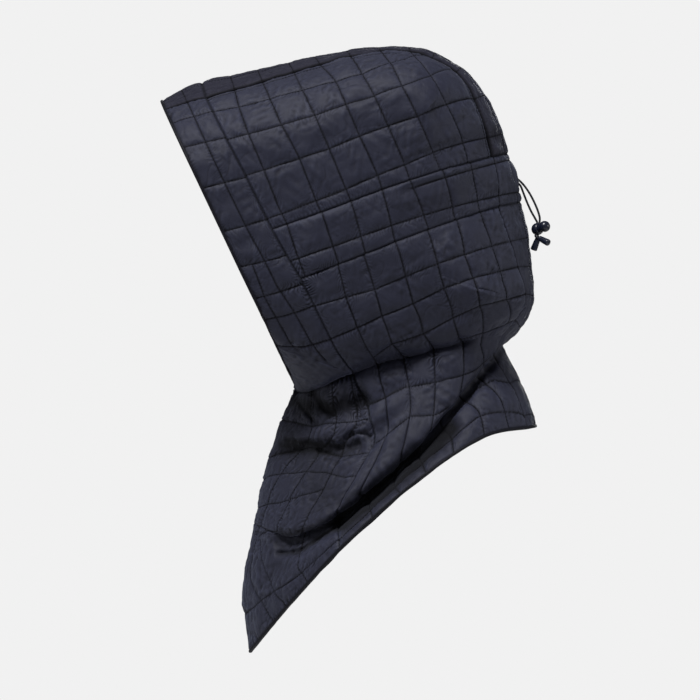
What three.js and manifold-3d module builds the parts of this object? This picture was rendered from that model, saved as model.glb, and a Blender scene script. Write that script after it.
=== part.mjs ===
// A quilted hood with a shoulder cape, standing as it does on a head: two side panels and a crown panel
// make the hood, a drawcord casing runs round the back of the head, a wide band frames the face, and below
// the chin the side panels run on down the neck, lap over themselves in one deep fold, and spread into a
// cape that a bib closes at the front.
// Millimetres, +Z up, the face looks along -Y and the wearer's left is +X. The origin is the point inside
// the crown where the top of the head touches. The hood is symmetric about the plane X = 0, so the tables
// below give the left half: y and z as seen from the side, x as the half width.
import * as THREE from "three";
import { mergeVertices } from "three/addons/utils/BufferGeometryUtils.js";
import Module from "manifold-3d";

const wasm = await Module();
wasm.setup();

// Cloth and seams
const WALL = 3; // padded cloth between its stitch lines
const SEAM_GAP = 0.36; // clear width left at each seam between two panels
const BINDING_WIDTH = 3; // how much of an edge a binding covers
const BINDING_PROUD = 0.7; // how far a binding stands above and below the cloth
const BINDING_GAP = 0.45; // clear width between a binding and the cloth that it holds

// Numbers of facets
const STRIP_COLUMNS = 6; // across the crown panel and everything sewn in line with it
const SIDE_COLUMNS = 12; // from the crown panel's seam round to the face band
const BIB_COLUMNS = 6; // from the bib's seam to its middle, and across the face band
const CROWN_BACK_ROWS = 8;
const CASING_ROWS = 4;
const LOWER_ROWS = 7;

// The hood's outline seen from the side, with the crown panel's seam beside it. depth is how far in from
// the outline the hood reaches its full width there.
const RIDGE = [
  { at: "face edge", ridge: [-240, -47], seam: [-235.2, -57.5], depth: 82 },
  { at: "face band seam", ridge: [-198, -28.5], seam: [-193.5, -44], depth: 86 },
  { at: "forehead", ridge: [-160, -21.3], seam: [-157, -34], depth: 84 },
  { at: "top front", ridge: [-105, -8.3], seam: [-102, -17], depth: 76 },
  { at: "top", ridge: [-47, 3.8], seam: [-45, -2], depth: 62 },
  { at: "crown", ridge: [0, 6.8], seam: [1, 2.5], depth: 54 },
  { at: "crown back", ridge: [32, 1.5], seam: [29.5, -3.5], depth: 54 },
  { at: "shoulder of the crown", ridge: [62, -14.5], seam: [56.5, -18.5], depth: 64 },
  { at: "back top", ridge: [82, -38], seam: [72.5, -41.5], depth: 84 },
  { at: "back", ridge: [97, -65.5], seam: [84, -69.5], depth: 104 },
  { at: "above the casing", ridge: [104.5, -88], seam: [90.5, -91.5], depth: 118 },
  { at: "casing top", ridge: [108.5, -99], seam: [93, -103.5], depth: 125 },
  { at: "casing middle", ridge: [116, -122], seam: [97, -128], depth: 140 },
  { at: "casing bottom", ridge: [121.5, -148], seam: [98.5, -153], depth: 150 },
  { at: "below the casing", ridge: [128, -176], seam: [108, -180], depth: 135 },
  { at: "bag upper", ridge: [131.5, -204], seam: [116, -205], depth: 110 },
  { at: "bag", ridge: [134.3, -232], seam: [124, -231], depth: 84 },
  { at: "bag lower", ridge: [132.5, -254], seam: [125, -250], depth: 70 },
  { at: "bag underside", ridge: [120, -275], seam: [115, -267], depth: 62 },
  { at: "neck crease", ridge: [109, -286], seam: [103, -281], depth: 56 },
];
const BAND_SEAM_ROW = 1;
const CROWN_CORNER_ROW = 7;
const CASING_TOP_ROW = 11;
const CASING_BOTTOM_ROW = 13;
const CREASE_ROW = 19;

// The seam between the face band and the side panels, from the crown panel down to the neck crease.
const BAND_SEAM = [
  [-193.5, -44],
  [-172, -87],
  [-149, -132],
  [-127, -177],
  [-113, -202],
  [-99, -226],
  [-87, -250],
  [-75, -274],
  [-63, -298],
  [-47, -319],
];
const BAND_AT_CASING_TOP = 3;
const BAND_AT_CASING_BOTTOM = 5;
const BAND_AT_CREASE = 9;
// How far above the chin the cross lines of the band meet the face edge, measured along the edge, for the
// same rows as BAND_SEAM. Below the last one the band narrows round the chin to its middle.
const FACE_EDGE_UP = [302, 254, 206, 158, 134, 112, 92, 73, 57, 43];

// The casing's two seams between the crown panel's seam and the face band.
const CASING_TOP = [
  [93, -103.5],
  [40, -118.5],
  [-15, -136.5],
  [-70, -157],
  [-127, -177],
];
const CASING_BOTTOM = [
  [98.5, -153],
  [52, -168.5],
  [2, -186.5],
  [-50, -207],
  [-99, -226],
];

// The face opening lies in one plane that leans forward, from the chin to the brim.
const CHIN = [-106, -331];
const BRIM = [-240, -47];
const CHIN_ROUND = 130; // how far up the opening the chin's curve reaches
const CHIN_DEPTH = 70; // how far back the hood curves in towards the chin

// The hood's half width at heights above the chin, measured square to the casing.
const ROW_TILT = THREE.MathUtils.degToRad(18);
const HALF_WIDTH = [
  { height: -20, half: 86 },
  { height: 35, half: 103 },
  { height: 90, half: 113 },
  { height: 145, half: 117 },
  { height: 200, half: 117 },
  { height: 255, half: 115 },
  { height: 315, half: 109 },
];

// The neck crease, where the hood's fullness turns under, and the share of its width that it loses there.
const CREASE = [
  { y: -108, z: -339, tuck: 0 },
  { y: -84, z: -336, tuck: 0.1 },
  { y: -47, z: -319, tuck: 0.16 },
  { y: -15, z: -307, tuck: 0.17 },
  { y: 25, z: -299, tuck: 0.17 },
  { y: 70, z: -286, tuck: 0.08 },
  { y: 103, z: -281, tuck: 0 },
];
const CREASE_REACH = 24; // how far above the crease the cloth starts to turn under

// Rings of the neck, fold and cape, each from the middle of the back (station 0) round the wearer's left to
// the middle of the front (station 6), as [x, y, z]. Station 1 is the crown panel's seam, 4 the bib's.
const BIB_STATION = 4;
const FRONT_STATION = 6;
const NECK_RING = [
  [0, 106, -289],
  [47, 99, -291],
  [78, 68, -312],
  [91, 20, -343],
  [92, -29, -379],
  [62, -92, -400],
  [0, -130, -398],
];
const FOLD_RING = [
  [0, 103, -291.5],
  [47, 94, -301],
  [81, 62, -337],
  [106, 15, -389],
  [112, -62, -453],
  [78, -108, -477],
  [0, -146, -468],
];
const CAPE_RING = [
  [0, 123, -332],
  [51, 114, -334],
  [90, 76, -358],
  [117, 14, -409],
  [122, -62, -478],
  [86, -113, -520],
  [0, -157, -536],
];
const HEM_RING = [
  [0, 137, -373],
  [53, 129, -374],
  [101, 84, -382],
  [131, 12, -428],
  [133, -61, -493],
  [92, -108, -546],
  [0, -151, -599],
];
// How far the cloth doubles back up under the fold ring, at the same stations. A lift under zero is no
// overlap, only a dent that long.
const LIFT = [[-3], [-3], [12], [22], [16], [-6], [-9]];
const LAP_ROLL = 7; // from the outer face of the fold in to the cloth that runs back up
const LAP_GAP = 3; // from there in to the cloth that runs down again
const DENT_ROLL = 1.2; // what is left of the roll where there is no overlap
const DENT_GAP = 0.8;
// Rows down the neck and cape, in ring numbers: 0 crease, 1 neck, 2 fold, 3 its bottom, 4 its inside,
// 5 to 7 the turn of the tuck, 8 below the fold, 9 cape, 10 hem.
const LOWER_RINGS = [0, 0.28, 0.5, 0.72, 1, 1.35, 1.7, 2, 3, 4, 5, 6, 7, 8, 8.5, 9, 9.5, 10];
const HEM_ROW = 10;
// The crumples across the bib below the chin, as dents at ring numbers between the crease and the fold.
const BIB_DENTS = [
  { ring: 0.5, width: 0.16, depth: 5 },
  { ring: 1, width: 0.18, depth: 6 },
];
const DENT_FADE = 1.1; // stations behind the bib's seam over which the dents run out

// The drawcord: two strands that leave one opening in the middle of the casing's back, run through the
// lock and end in a cord end each.
const CORD_DIAMETER = 2.2;
const CORD_STEPS = 22;
const CORD_SIDES = 8;
const CORD_OPENING = { x: 0, y: 116.5, z: -126.5, width: 6.6, height: 9.6, deep: 16 };

// The lock is a ball with a spring-loaded ball button. Its axis runs from the ball to the button, and the
// cords cross it through one hole, which is also a slot in the button's stem.
const LOCK_CENTRE = [-1, 137.5, -175];
const LOCK_AXIS = [0.755, 0.62, 0.22];
const LOCK_ACROSS = [0.384, -0.144, -0.912]; // the way down through the cord hole
const LOCK_RADIUS = 6.2;
const LOCK_MOUTH = 4.2; // from the ball's centre to its flat mouth
const LOCK_BORE = { radius: 3.95, floor: -5, flat: 2.6, rise: 1.1 }; // its floor slopes up outside flat
const CORD_SPREAD = 1.35; // from the middle of the hole to each cord
const CORD_CLEARANCE = 0.3;
const BUTTON_RADIUS = 5.6;
const BUTTON_CENTRE = 11.3; // from the lock's centre, along its axis
const BUTTON_FLAT = 6.9; // where the button's ball ends and its stem starts
const STEM = { radius: 3.6, end: -2.6, flat: 2.4, rise: 1 };
const BUTTON_TRAVEL = 2.2;
const BALL_FACETS = 24;

// The cord's ways from the casing to the lock and from the lock to the cord ends.
const STRANDS = [
  {
    name: "right",
    side: 1,
    above: [
      [-1.5, 114.2, -123.6],
      [-1.6, 116.5, -124.4],
      [-1.8, 121.5, -128.5],
      [-2.2, 127.5, -136],
      [-2.8, 133, -145.5],
      [-3.6, 138, -157],
      [-4, 139.8, -164],
    ],
    below: [],
    end: { mouth: [1.1, 137.9, -184.6], toward: [-0.1, -0.36, -0.93], length: 12.5 },
  },
  {
    name: "left",
    side: -1,
    above: [
      [1.5, 114.4, -128.6],
      [1.5, 117.4, -129],
      [1.3, 120.3, -131.6],
      [0.9, 123, -138],
      [0.2, 126.5, -147],
      [-1, 131, -157],
      [-2, 135.2, -164.5],
    ],
    below: [[3.6, 135.6, -182.6]],
    end: { mouth: [7.3, 139.6, -184.4], toward: [0.6, 0.7, -0.38], length: 12.5 },
  },
];
const CORD_END = { near: 2.7, far: 3.5, bore: 1.45, deep: 5 };

const clamp01 = (value) => Math.min(1, Math.max(0, value));
const lerp = (a, b, share) => a + (b - a) * share;
const mix = (a, b, share) => a.map((value, k) => lerp(value, b[k], share));
const smoothStep = (value) => clamp01(value) ** 2 * (3 - 2 * clamp01(value));
const hullRound = (share) => Math.sqrt(1 - (1 - clamp01(share)) ** 2); // a quarter ellipse from 0 to 1

// A cubic curve through table rows of any length, as a function of the row number.
function track(rows) {
  const last = rows.length - 1;
  return (row) => {
    const i = Math.min(Math.max(Math.floor(row), 0), last - 1);
    const t = row - i;
    return rows[i].map((_, k) => {
      const [b, c] = [rows[i][k], rows[i + 1][k]];
      const a = i > 0 ? rows[i - 1][k] : 2 * b - c;
      const d = i + 2 <= last ? rows[i + 2][k] : 2 * c - b;
      const [m, n] = [(c - a) / 2, (d - b) / 2];
      return b + t * (m + t * (3 * (c - b) - 2 * m - n + t * (2 * (b - c) + m + n)));
    });
  };
}

// The value of a table's column at a place between its rows, which rise in the key column.
function lookUp(table, key, column, at) {
  const curve = track(table.map((row) => [row[key], row[column]]));
  const i = Math.max(0, Math.min(table.length - 2, table.findIndex((row) => row[key] > at) - 1));
  if (at >= table[table.length - 1][key]) return table[table.length - 1][column];
  if (at <= table[0][key]) return table[0][column];
  const share = (at - table[i][key]) / (table[i + 1][key] - table[i][key]);
  return curve(i + share)[1];
}

const ridgeCurve = track(RIDGE.map((row) => row.ridge));
const seamCurve = track(RIDGE.map((row) => row.seam));
const depthCurve = track(RIDGE.map((row) => [row.depth]));
const bandSeamCurve = track(BAND_SEAM);
const faceUpCurve = track(FACE_EDGE_UP.map((up) => [up]));

const RIDGE_STEPS = 10; // points between two rows of RIDGE when a distance to the outline is measured
const ridgeLine = Array.from({ length: CREASE_ROW * RIDGE_STEPS + 1 }, (_, i) => {
  const row = i / RIDGE_STEPS;
  return { point: ridgeCurve(row), depth: depthCurve(row)[0] };
});

// The distance from a side-view point to the outline, as a share of the depth there.
function shareOfDepth(y, z) {
  let best = { distance: Infinity, depth: 1 };
  for (let i = 0; i + 1 < ridgeLine.length; i++) {
    const [a, b] = [ridgeLine[i].point, ridgeLine[i + 1].point];
    const [dy, dz] = [b[0] - a[0], b[1] - a[1]];
    const along = clamp01(((y - a[0]) * dy + (z - a[1]) * dz) / (dy * dy + dz * dz));
    const distance = Math.hypot(y - a[0] - along * dy, z - a[1] - along * dz);
    if (distance < best.distance)
      best = { distance, depth: lerp(ridgeLine[i].depth, ridgeLine[i + 1].depth, along) };
  }
  return best.distance / best.depth;
}

const faceLength = Math.hypot(BRIM[0] - CHIN[0], BRIM[1] - CHIN[1]);
const faceUp = [(BRIM[0] - CHIN[0]) / faceLength, (BRIM[1] - CHIN[1]) / faceLength];

// How much of the hood's width is left near the chin: it narrows to nothing at the middle of the chin.
function chinShare(y, z) {
  const [dy, dz] = [y - CHIN[0], z - CHIN[1]];
  const up = Math.max(0, dy * faceUp[0] + dz * faceUp[1]);
  const back = Math.max(0, dy * faceUp[1] - dz * faceUp[0]);
  const atEdge = Math.sqrt(1 - (1 - clamp01(up / CHIN_ROUND)) ** 2.4);
  return lerp(atEdge, 1, hullRound(back / CHIN_DEPTH));
}

// How much is left near the neck crease, where the cloth turns under.
function creaseShare(y, z) {
  const above = z - lookUp(CREASE, "y", "z", y);
  return 1 - lookUp(CREASE, "y", "tuck", y) * (1 - hullRound(above / CREASE_REACH));
}

// The hood's half width at a side-view point: this one function is the shape of the whole hood.
function hoodHalfWidth(y, z) {
  const height = (CHIN[0] - y) * Math.sin(ROW_TILT) + (z - CHIN[1]) * Math.cos(ROW_TILT);
  const full = lookUp(HALF_WIDTH, "height", "half", height);
  return full * hullRound(shareOfDepth(y, z)) * chinShare(y, z) * creaseShare(y, z);
}

const onHood = ([y, z]) => new THREE.Vector3(hoodHalfWidth(y, z), y, z);

// A point of the strip between the two crown seams: an ellipse over the ridge. across runs from -1 to 1.
function stripPoint(row, across) {
  const [ridge, seam] = [ridgeCurve(row), seamCurve(row)];
  const sag = Math.hypot(seam[0] - ridge[0], seam[1] - ridge[1]);
  const widest = Math.acos(1 - sag / depthCurve(row)[0]);
  const turn = widest * across;
  const sink = (1 - Math.cos(turn)) / (1 - Math.cos(widest));
  return new THREE.Vector3(
    (hoodHalfWidth(...seam) * Math.sin(turn)) / Math.sin(widest),
    lerp(ridge[0], seam[0], sink),
    lerp(ridge[1], seam[1], sink),
  );
}

// A four-sided patch of the side view, blended from its edges. s runs along top and bottom, t down the sides.
function coons({ top, bottom, back, front }, s, t) {
  return [0, 1].map(
    (k) =>
      lerp(top(s)[k], bottom(s)[k], t) +
      lerp(back(t)[k], front(t)[k], s) -
      lerp(lerp(top(0)[k], top(1)[k], s), lerp(bottom(0)[k], bottom(1)[k], s), t),
  );
}

const casingTopCurve = track(CASING_TOP);
const casingBottomCurve = track(CASING_BOTTOM);
const casingTop = (s) => casingTopCurve(s * (CASING_TOP.length - 1));
const casingBottom = (s) => casingBottomCurve(s * (CASING_BOTTOM.length - 1));

// Side-view point of the neck crease at a station of the rings.
const creaseSide = track([
  [103, -281],
  [70, -286],
  [18, -300],
  [-47, -319],
  [-84, -336],
  [-108, -339],
]);

const upperPatch = {
  top: (s) => seamCurve(lerp(CROWN_CORNER_ROW, BAND_SEAM_ROW, s)),
  bottom: casingTop,
  back: (t) => seamCurve(lerp(CROWN_CORNER_ROW, CASING_TOP_ROW, t)),
  front: (t) => bandSeamCurve(BAND_AT_CASING_TOP * t),
};
const casingPatch = {
  top: casingTop,
  bottom: casingBottom,
  back: (t) => seamCurve(lerp(CASING_TOP_ROW, CASING_BOTTOM_ROW, t)),
  front: (t) => bandSeamCurve(lerp(BAND_AT_CASING_TOP, BAND_AT_CASING_BOTTOM, t)),
};
const lowerPatch = {
  top: casingBottom,
  bottom: (s) => creaseSide(s * (BIB_STATION - 1)),
  back: (t) => seamCurve(lerp(CASING_BOTTOM_ROW, CREASE_ROW, t)),
  front: (t) => bandSeamCurve(lerp(BAND_AT_CASING_BOTTOM, BAND_AT_CREASE, t)),
};

const faceEdge = (up) => CHIN.map((value, k) => value + up * faceUp[k]);

// A point of the face band: row as in BAND_SEAM, across from its seam (0) to the face edge (1).
function bandPoint(row, across) {
  const straight = (at) => mix(bandSeamCurve(at), faceEdge(faceUpCurve(at)[0]), across);
  const top = seamCurve(lerp(BAND_SEAM_ROW, 0, across));
  const pull = smoothStep(1 - row / 3);
  return straight(row).map((value, k) => value + pull * (top[k] - straight(0)[k]));
}

// A point of the band below the chin, from its last full row (0) to the middle (1). The bulge of that row
// dies out towards the middle.
function chinPoint(round, across) {
  const straight = (at) => {
    const low = onHood(creaseSide(lerp(BIB_STATION - 1, FRONT_STATION - 1, at)));
    return low.lerp(onHood(faceEdge(FACE_EDGE_UP[BAND_AT_CREASE] * (1 - at) ** 2)), across);
  };
  const bulge = onHood(bandPoint(BAND_AT_CREASE, across)).sub(straight(0));
  return straight(round).addScaledVector(bulge, (1 - round) ** 2);
}

// A smooth closed ring through its table, mirrored at the back and the front.
function ringCurve(rows) {
  const points = rows.map((row) => new THREE.Vector3(...row));
  const mirrored = (p) => new THREE.Vector3(-p.x, p.y, p.z);
  const all = [mirrored(points[1]), ...points, mirrored(points[points.length - 2])];
  const curve = new THREE.CatmullRomCurve3(all, false, "centripetal");
  return (station) => curve.getPoint((station + 1) / (all.length - 1));
}

const neckRing = ringCurve(NECK_RING);
const foldRing = ringCurve(FOLD_RING);
const capeRing = ringCurve(CAPE_RING);
const hemRing = ringCurve(HEM_RING);
const liftCurve = track(LIFT);

function creaseRing(station) {
  return station <= 1 ? stripPoint(CREASE_ROW, station) : onHood(creaseSide(station - 1));
}

// The cloth's way down from the crease to the hem at one station, as a curve over ring numbers.
function lowerProfile(station) {
  const fold = foldRing(station);
  const step = 0.02;
  const along = foldRing(Math.min(station + step, FRONT_STATION)).sub(foldRing(Math.max(station - step, 0)));
  const [lift] = liftCurve(station);
  const lapped = smoothStep((lift + 3) / 3.5);
  const above = fold.clone().sub(neckRing(station)).normalize();
  const below = capeRing(station).sub(fold).normalize();
  const down = below.lerp(above, lapped).normalize();
  const out = along.clone().cross(down).normalize();
  const [roll, gap] = [lerp(DENT_ROLL, LAP_ROLL, lapped), lerp(DENT_GAP, LAP_GAP, lapped)];
  const at = (outward, downward) =>
    fold.clone().addScaledVector(out, outward).addScaledVector(down, downward);
  const points = [
    creaseRing(station),
    neckRing(station),
    fold,
    at(-roll / 2, lerp(1, roll / 2, lapped)),
    at(-roll, lerp(2, 0, lapped)),
    at(-roll - gap / 6, -lift),
    at(-roll - gap / 2, -lift + lerp(1, -1.2, lapped)),
    at(-roll - gap, -lift + lerp(2, 0, lapped)),
    at(-roll - gap - 0.5, Math.max(-lift, 0) + 5),
    capeRing(station),
    hemRing(station),
  ];
  const curve = new THREE.CatmullRomCurve3(points, false, "centripetal");
  return (ring) => {
    const point = curve.getPoint(ring / HEM_ROW);
    const fade = smoothStep((station - BIB_STATION + DENT_FADE) / DENT_FADE);
    const depth = BIB_DENTS.reduce(
      (sum, dent) => sum + dent.depth * Math.exp(-(((ring - dent.ring) / dent.width) ** 2)),
      0,
    );
    return point.addScaledVector(out, -depth * fade);
  };
}

const range = (from, to, steps) =>
  Array.from({ length: steps + 1 }, (_, i) => lerp(from, to, i / steps));
const strip = range(-1, 1, STRIP_COLUMNS);
const side = range(0, 1, SIDE_COLUMNS);
const stations = {
  strip: range(0, 1, STRIP_COLUMNS / 2),
  side: range(1, BIB_STATION, SIDE_COLUMNS),
  bib: range(BIB_STATION, FRONT_STATION, BIB_COLUMNS),
};
const mirror = (point) => new THREE.Vector3(-point.x, point.y, point.z);
const mirrorRow = (row) => row.map(mirror).reverse();

// Grids of points on the outer face, rows going down or back, columns from the wearer's right to the left
// across the back, and on to the front.
function crownGrid() {
  const rows = [
    ...range(BAND_SEAM_ROW, CROWN_CORNER_ROW, SIDE_COLUMNS),
    ...range(CROWN_CORNER_ROW, CASING_TOP_ROW, CROWN_BACK_ROWS).slice(1),
  ];
  return rows.map((row) => strip.map((across) => stripPoint(row, across)));
}

function bandTopGrid() {
  return range(0, BAND_SEAM_ROW, BIB_COLUMNS).map((row) =>
    strip.map((across) => stripPoint(row, across)),
  );
}

function upperGrid() {
  return range(0, 1, CROWN_BACK_ROWS).map((t) => side.map((s) => onHood(coons(upperPatch, s, t))));
}

function casingGrid() {
  return range(0, 1, CASING_ROWS).map((t) => {
    const half = side.map((s) => onHood(coons(casingPatch, s, t)));
    const middle = strip.map((across) =>
      stripPoint(lerp(CASING_TOP_ROW, CASING_BOTTOM_ROW, t), across),
    );
    return [...mirrorRow(half), ...middle.slice(1, -1), ...half];
  });
}

// Rows from the crease down to the hem, for a list of stations.
function lowerRows(list) {
  const profiles = list.map(lowerProfile);
  return LOWER_RINGS.map((ring) => profiles.map((profile) => profile(ring)));
}

function sideLowerGrid() {
  const hood = range(0, 1, LOWER_ROWS).map((t) => side.map((s) => onHood(coons(lowerPatch, s, t))));
  return [...hood.slice(0, -1), ...lowerRows(stations.side)];
}

function backGrid() {
  const hood = range(CASING_BOTTOM_ROW, CREASE_ROW, LOWER_ROWS).map((row) =>
    strip.map((across) => stripPoint(row, across)),
  );
  const below = lowerRows(stations.strip).map((row) => [...mirrorRow(row).slice(0, -1), ...row]);
  return [...hood.slice(0, -1), ...below];
}

function bibGrid() {
  return lowerRows(stations.bib).map((row) => [...row, ...mirrorRow(row).slice(1)]);
}

function bandGrid() {
  const rows = [
    ...range(0, BAND_AT_CASING_TOP, CROWN_BACK_ROWS),
    ...range(BAND_AT_CASING_TOP, BAND_AT_CASING_BOTTOM, CASING_ROWS).slice(1),
    ...range(BAND_AT_CASING_BOTTOM, BAND_AT_CREASE, LOWER_ROWS).slice(1),
  ];
  const across = range(0, 1, BIB_COLUMNS);
  const chin = range(0, 1, BIB_COLUMNS).slice(1);
  return [
    ...rows.map((row) => across.map((share) => onHood(bandPoint(row, share)))),
    ...chin.map((round) => across.map((share) => chinPoint(round, share))),
  ];
}

const grids = {
  face_band_top: bandTopGrid(),
  face_band_left: bandGrid(),
  crown_panel: crownGrid(),
  side_upper_left: upperGrid(),
  drawcord_casing: casingGrid(),
  side_lower_left: sideLowerGrid(),
  back_panel: backGrid(),
  bib: bibGrid(),
};
for (const name of ["face_band", "side_upper", "side_lower"])
  grids[`${name}_right`] = grids[`${name}_left`].map(mirrorRow);

// One outward direction for each point, shared by all the panels that meet there, so that their edges are
// mitred and never cross.
const spotOf = (p) => `${Math.round(p.x * 20)},${Math.round(p.y * 20)},${Math.round(p.z * 20)}`;
const outward = new Map();
for (const grid of Object.values(grids))
  for (let i = 0; i + 1 < grid.length; i++)
    for (let j = 0; j + 1 < grid[i].length; j++) {
      const corners = [grid[i][j], grid[i][j + 1], grid[i + 1][j + 1], grid[i + 1][j]];
      const normal = corners[2].clone().sub(corners[0]).cross(corners[3].clone().sub(corners[1]));
      normal.normalize();
      for (const corner of corners) {
        const spot = spotOf(corner);
        outward.set(spot, (outward.get(spot) ?? new THREE.Vector3()).add(normal));
      }
    }
const outwardAt = (point) => outward.get(spotOf(point)).clone().normalize();

// A line of points drawn in at its two ends, by so much along itself. The points near an end close up to
// make room, over a stretch six times as long as the end moves.
function drawnIn(points, atStart, atEnd) {
  const reach = [0];
  for (let i = 1; i < points.length; i++) reach.push(reach[i - 1] + points[i].distanceTo(points[i - 1]));
  const total = reach[reach.length - 1];
  const moved = (distance, by) => by * Math.max(0, 1 - distance / Math.min(6 * by + 1e-6, total));
  return reach.map((value) => {
    const goal = value + moved(value, atStart) - moved(total - value, atEnd);
    const i = Math.min(Math.max(reach.findIndex((at) => at >= goal), 1), points.length - 1);
    return points[i - 1].clone().lerp(points[i], (goal - reach[i - 1]) / (reach[i] - reach[i - 1]));
  });
}

const turned = (grid) => grid[0].map((_, j) => grid.map((row) => row[j]));

// Draws a grid in along the cloth, by so much at each of its four edges.
function inset(grid, { first, last, start, end }) {
  const rows = grid.map((row) => drawnIn(row, start, end));
  return turned(turned(rows).map((column) => drawnIn(column, first, last)));
}

// A closed padded wall: the outer grid, the same grid one wall further in, and its four edges.
function wall(grid, edges) {
  const inner = grid.map((row) => row.map((p) => p.clone().addScaledVector(outwardAt(p), -WALL)));
  const faces = [inset(grid, edges), inset(inner, edges)];
  const [rows, columns] = [grid.length, grid[0].length];
  const positions = [];
  const indices = [];
  for (const face of faces) for (const row of face) for (const p of row) positions.push(p.x, p.y, p.z);
  const index = (face, i, j) => face * rows * columns + i * columns + j;
  const quad = (a, b, c, d) => indices.push(a, c, b, a, d, c);
  for (let i = 0; i + 1 < rows; i++)
    for (let j = 0; j + 1 < columns; j++) {
      quad(index(0, i, j), index(0, i + 1, j), index(0, i + 1, j + 1), index(0, i, j + 1));
      quad(index(1, i, j), index(1, i, j + 1), index(1, i + 1, j + 1), index(1, i + 1, j));
    }
  for (let j = 0; j + 1 < columns; j++) {
    quad(index(0, 0, j), index(0, 0, j + 1), index(1, 0, j + 1), index(1, 0, j));
    const last = rows - 1;
    quad(index(0, last, j), index(1, last, j), index(1, last, j + 1), index(0, last, j + 1));
  }
  for (let i = 0; i + 1 < rows; i++) {
    quad(index(0, i + 1, 0), index(0, i, 0), index(1, i, 0), index(1, i + 1, 0));
    const last = columns - 1;
    quad(index(0, i + 1, last), index(1, i + 1, last), index(1, i, last), index(0, i, last));
  }
  const geometry = new THREE.BufferGeometry();
  geometry.setAttribute("position", new THREE.Float32BufferAttribute(positions, 3));
  geometry.setIndex(indices);
  geometry.computeVertexNormals();
  return geometry;
}

const navy = new THREE.MeshStandardMaterial({ color: 0x232634, roughness: 0.55, metalness: 0 });
const bindingNavy = new THREE.MeshStandardMaterial({ color: 0x1b1d28, roughness: 0.6, metalness: 0 });
const cordBlack = new THREE.MeshStandardMaterial({ color: 0x101116, roughness: 0.8, metalness: 0 });
const lockPlastic = new THREE.MeshStandardMaterial({ color: 0x14161e, roughness: 0.35, metalness: 0 });

const hood = new THREE.Group();
function addMesh(name, geometry, material) {
  const mesh = new THREE.Mesh(geometry, material);
  mesh.name = name;
  hood.add(mesh);
  return mesh;
}

const seam = SEAM_GAP / 2;
const bound = BINDING_WIDTH + BINDING_GAP;
const allSeams = { first: seam, last: seam, start: seam, end: seam };
const panelEdges = {
  face_band_top: { ...allSeams, first: bound },
  face_band_left: { ...allSeams, end: bound },
  face_band_right: { ...allSeams, start: bound },
  side_lower_left: { ...allSeams, last: bound },
  side_lower_right: { ...allSeams, last: bound },
  back_panel: { ...allSeams, last: bound },
  bib: { ...allSeams, last: bound },
};
for (const [name, grid] of Object.entries(grids))
  addMesh(name, wall(grid, panelEdges[name] ?? allSeams), navy);

// A binding: a rounded six-sided section that follows an edge all the way round. Each stop of the edge has
// its point, the direction into the cloth and the outward direction of the cloth's face.
function binding(stops) {
  const [high, low] = [BINDING_PROUD, -WALL - BINDING_PROUD];
  const middle = -WALL / 2;
  const section = [
    [0, middle],
    [BINDING_WIDTH * 0.3, low],
    [BINDING_WIDTH, low],
    [BINDING_WIDTH, middle],
    [BINDING_WIDTH, high],
    [BINDING_WIDTH * 0.3, high],
  ];
  const positions = stops.flatMap(({ point, into, out }) =>
    section.flatMap(([inward, up]) =>
      point.clone().addScaledVector(into, inward).addScaledVector(out, up).toArray(),
    ),
  );
  const indices = [];
  const sides = section.length;
  stops.forEach((_, i) => {
    const next = (i + 1) % stops.length;
    for (let k = 0; k < sides; k++) {
      const [a, b] = [i * sides + k, i * sides + ((k + 1) % sides)];
      const [c, d] = [next * sides + k, next * sides + ((k + 1) % sides)];
      indices.push(a, c, b, b, c, d);
    }
  });
  const geometry = new THREE.BufferGeometry();
  geometry.setAttribute("position", new THREE.Float32BufferAttribute(positions, 3));
  geometry.setIndex(indices);
  geometry.computeVertexNormals();
  return geometry;
}

// A stop at the end of a line of points across the cloth.
function stop(line) {
  const point = line[line.length - 1];
  const inside = drawnIn(line, 0, BINDING_WIDTH)[line.length - 1];
  return { point, into: inside.sub(point).normalize(), out: outwardAt(point) };
}

// Round the face from the middle of the chin: down over the wearer's left, the brim and the right.
function faceStops() {
  const left = grids.face_band_left.map(stop);
  const right = grids.face_band_right.map((row) => stop([...row].reverse()));
  const top = turned(grids.face_band_top).map((column) => stop([...column].reverse()));
  return [...left.reverse(), ...top.slice(1, -1).reverse(), ...right.slice(0, -1)];
}

// Round the hem from the wearer's right of the back panel, on round the left side and the bib.
function hemStops() {
  const order = ["back_panel", "side_lower_left", "bib", "side_lower_right"];
  return order.flatMap((name) => turned(grids[name]).map(stop).slice(0, -1));
}

addMesh("face_binding", binding(faceStops()), bindingNavy);
addMesh("hem_binding", binding(hemStops()), bindingNavy);

// The solid of a geometry, for cutting, and back again.
function solidOf(geometry) {
  const bare = new THREE.BufferGeometry();
  bare.setAttribute("position", geometry.getAttribute("position"));
  if (geometry.index) bare.setIndex(geometry.index);
  const merged = mergeVertices(bare, 1e-4);
  return new wasm.Manifold(
    new wasm.Mesh({
      numProp: 3,
      vertProperties: merged.attributes.position.array,
      triVerts: new Uint32Array(merged.index.array),
    }),
  );
}

function geometryOf(solid) {
  const { vertProperties, triVerts } = solid.getMesh();
  const geometry = new THREE.BufferGeometry();
  geometry.setAttribute("position", new THREE.Float32BufferAttribute(vertProperties, 3));
  geometry.setIndex(Array.from(triVerts));
  const faceted = geometry.toNonIndexed();
  faceted.computeVertexNormals();
  return faceted;
}

const cut = (geometry, ...tools) =>
  geometryOf(tools.reduce((solid, tool) => solid.subtract(solidOf(tool)), solidOf(geometry)));

const casing = hood.getObjectByName("drawcord_casing");
const { x, y, z, width, height, deep } = CORD_OPENING;
casing.geometry = cut(
  casing.geometry,
  new THREE.BoxGeometry(width, deep, height).translate(x, y, z),
);

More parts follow.
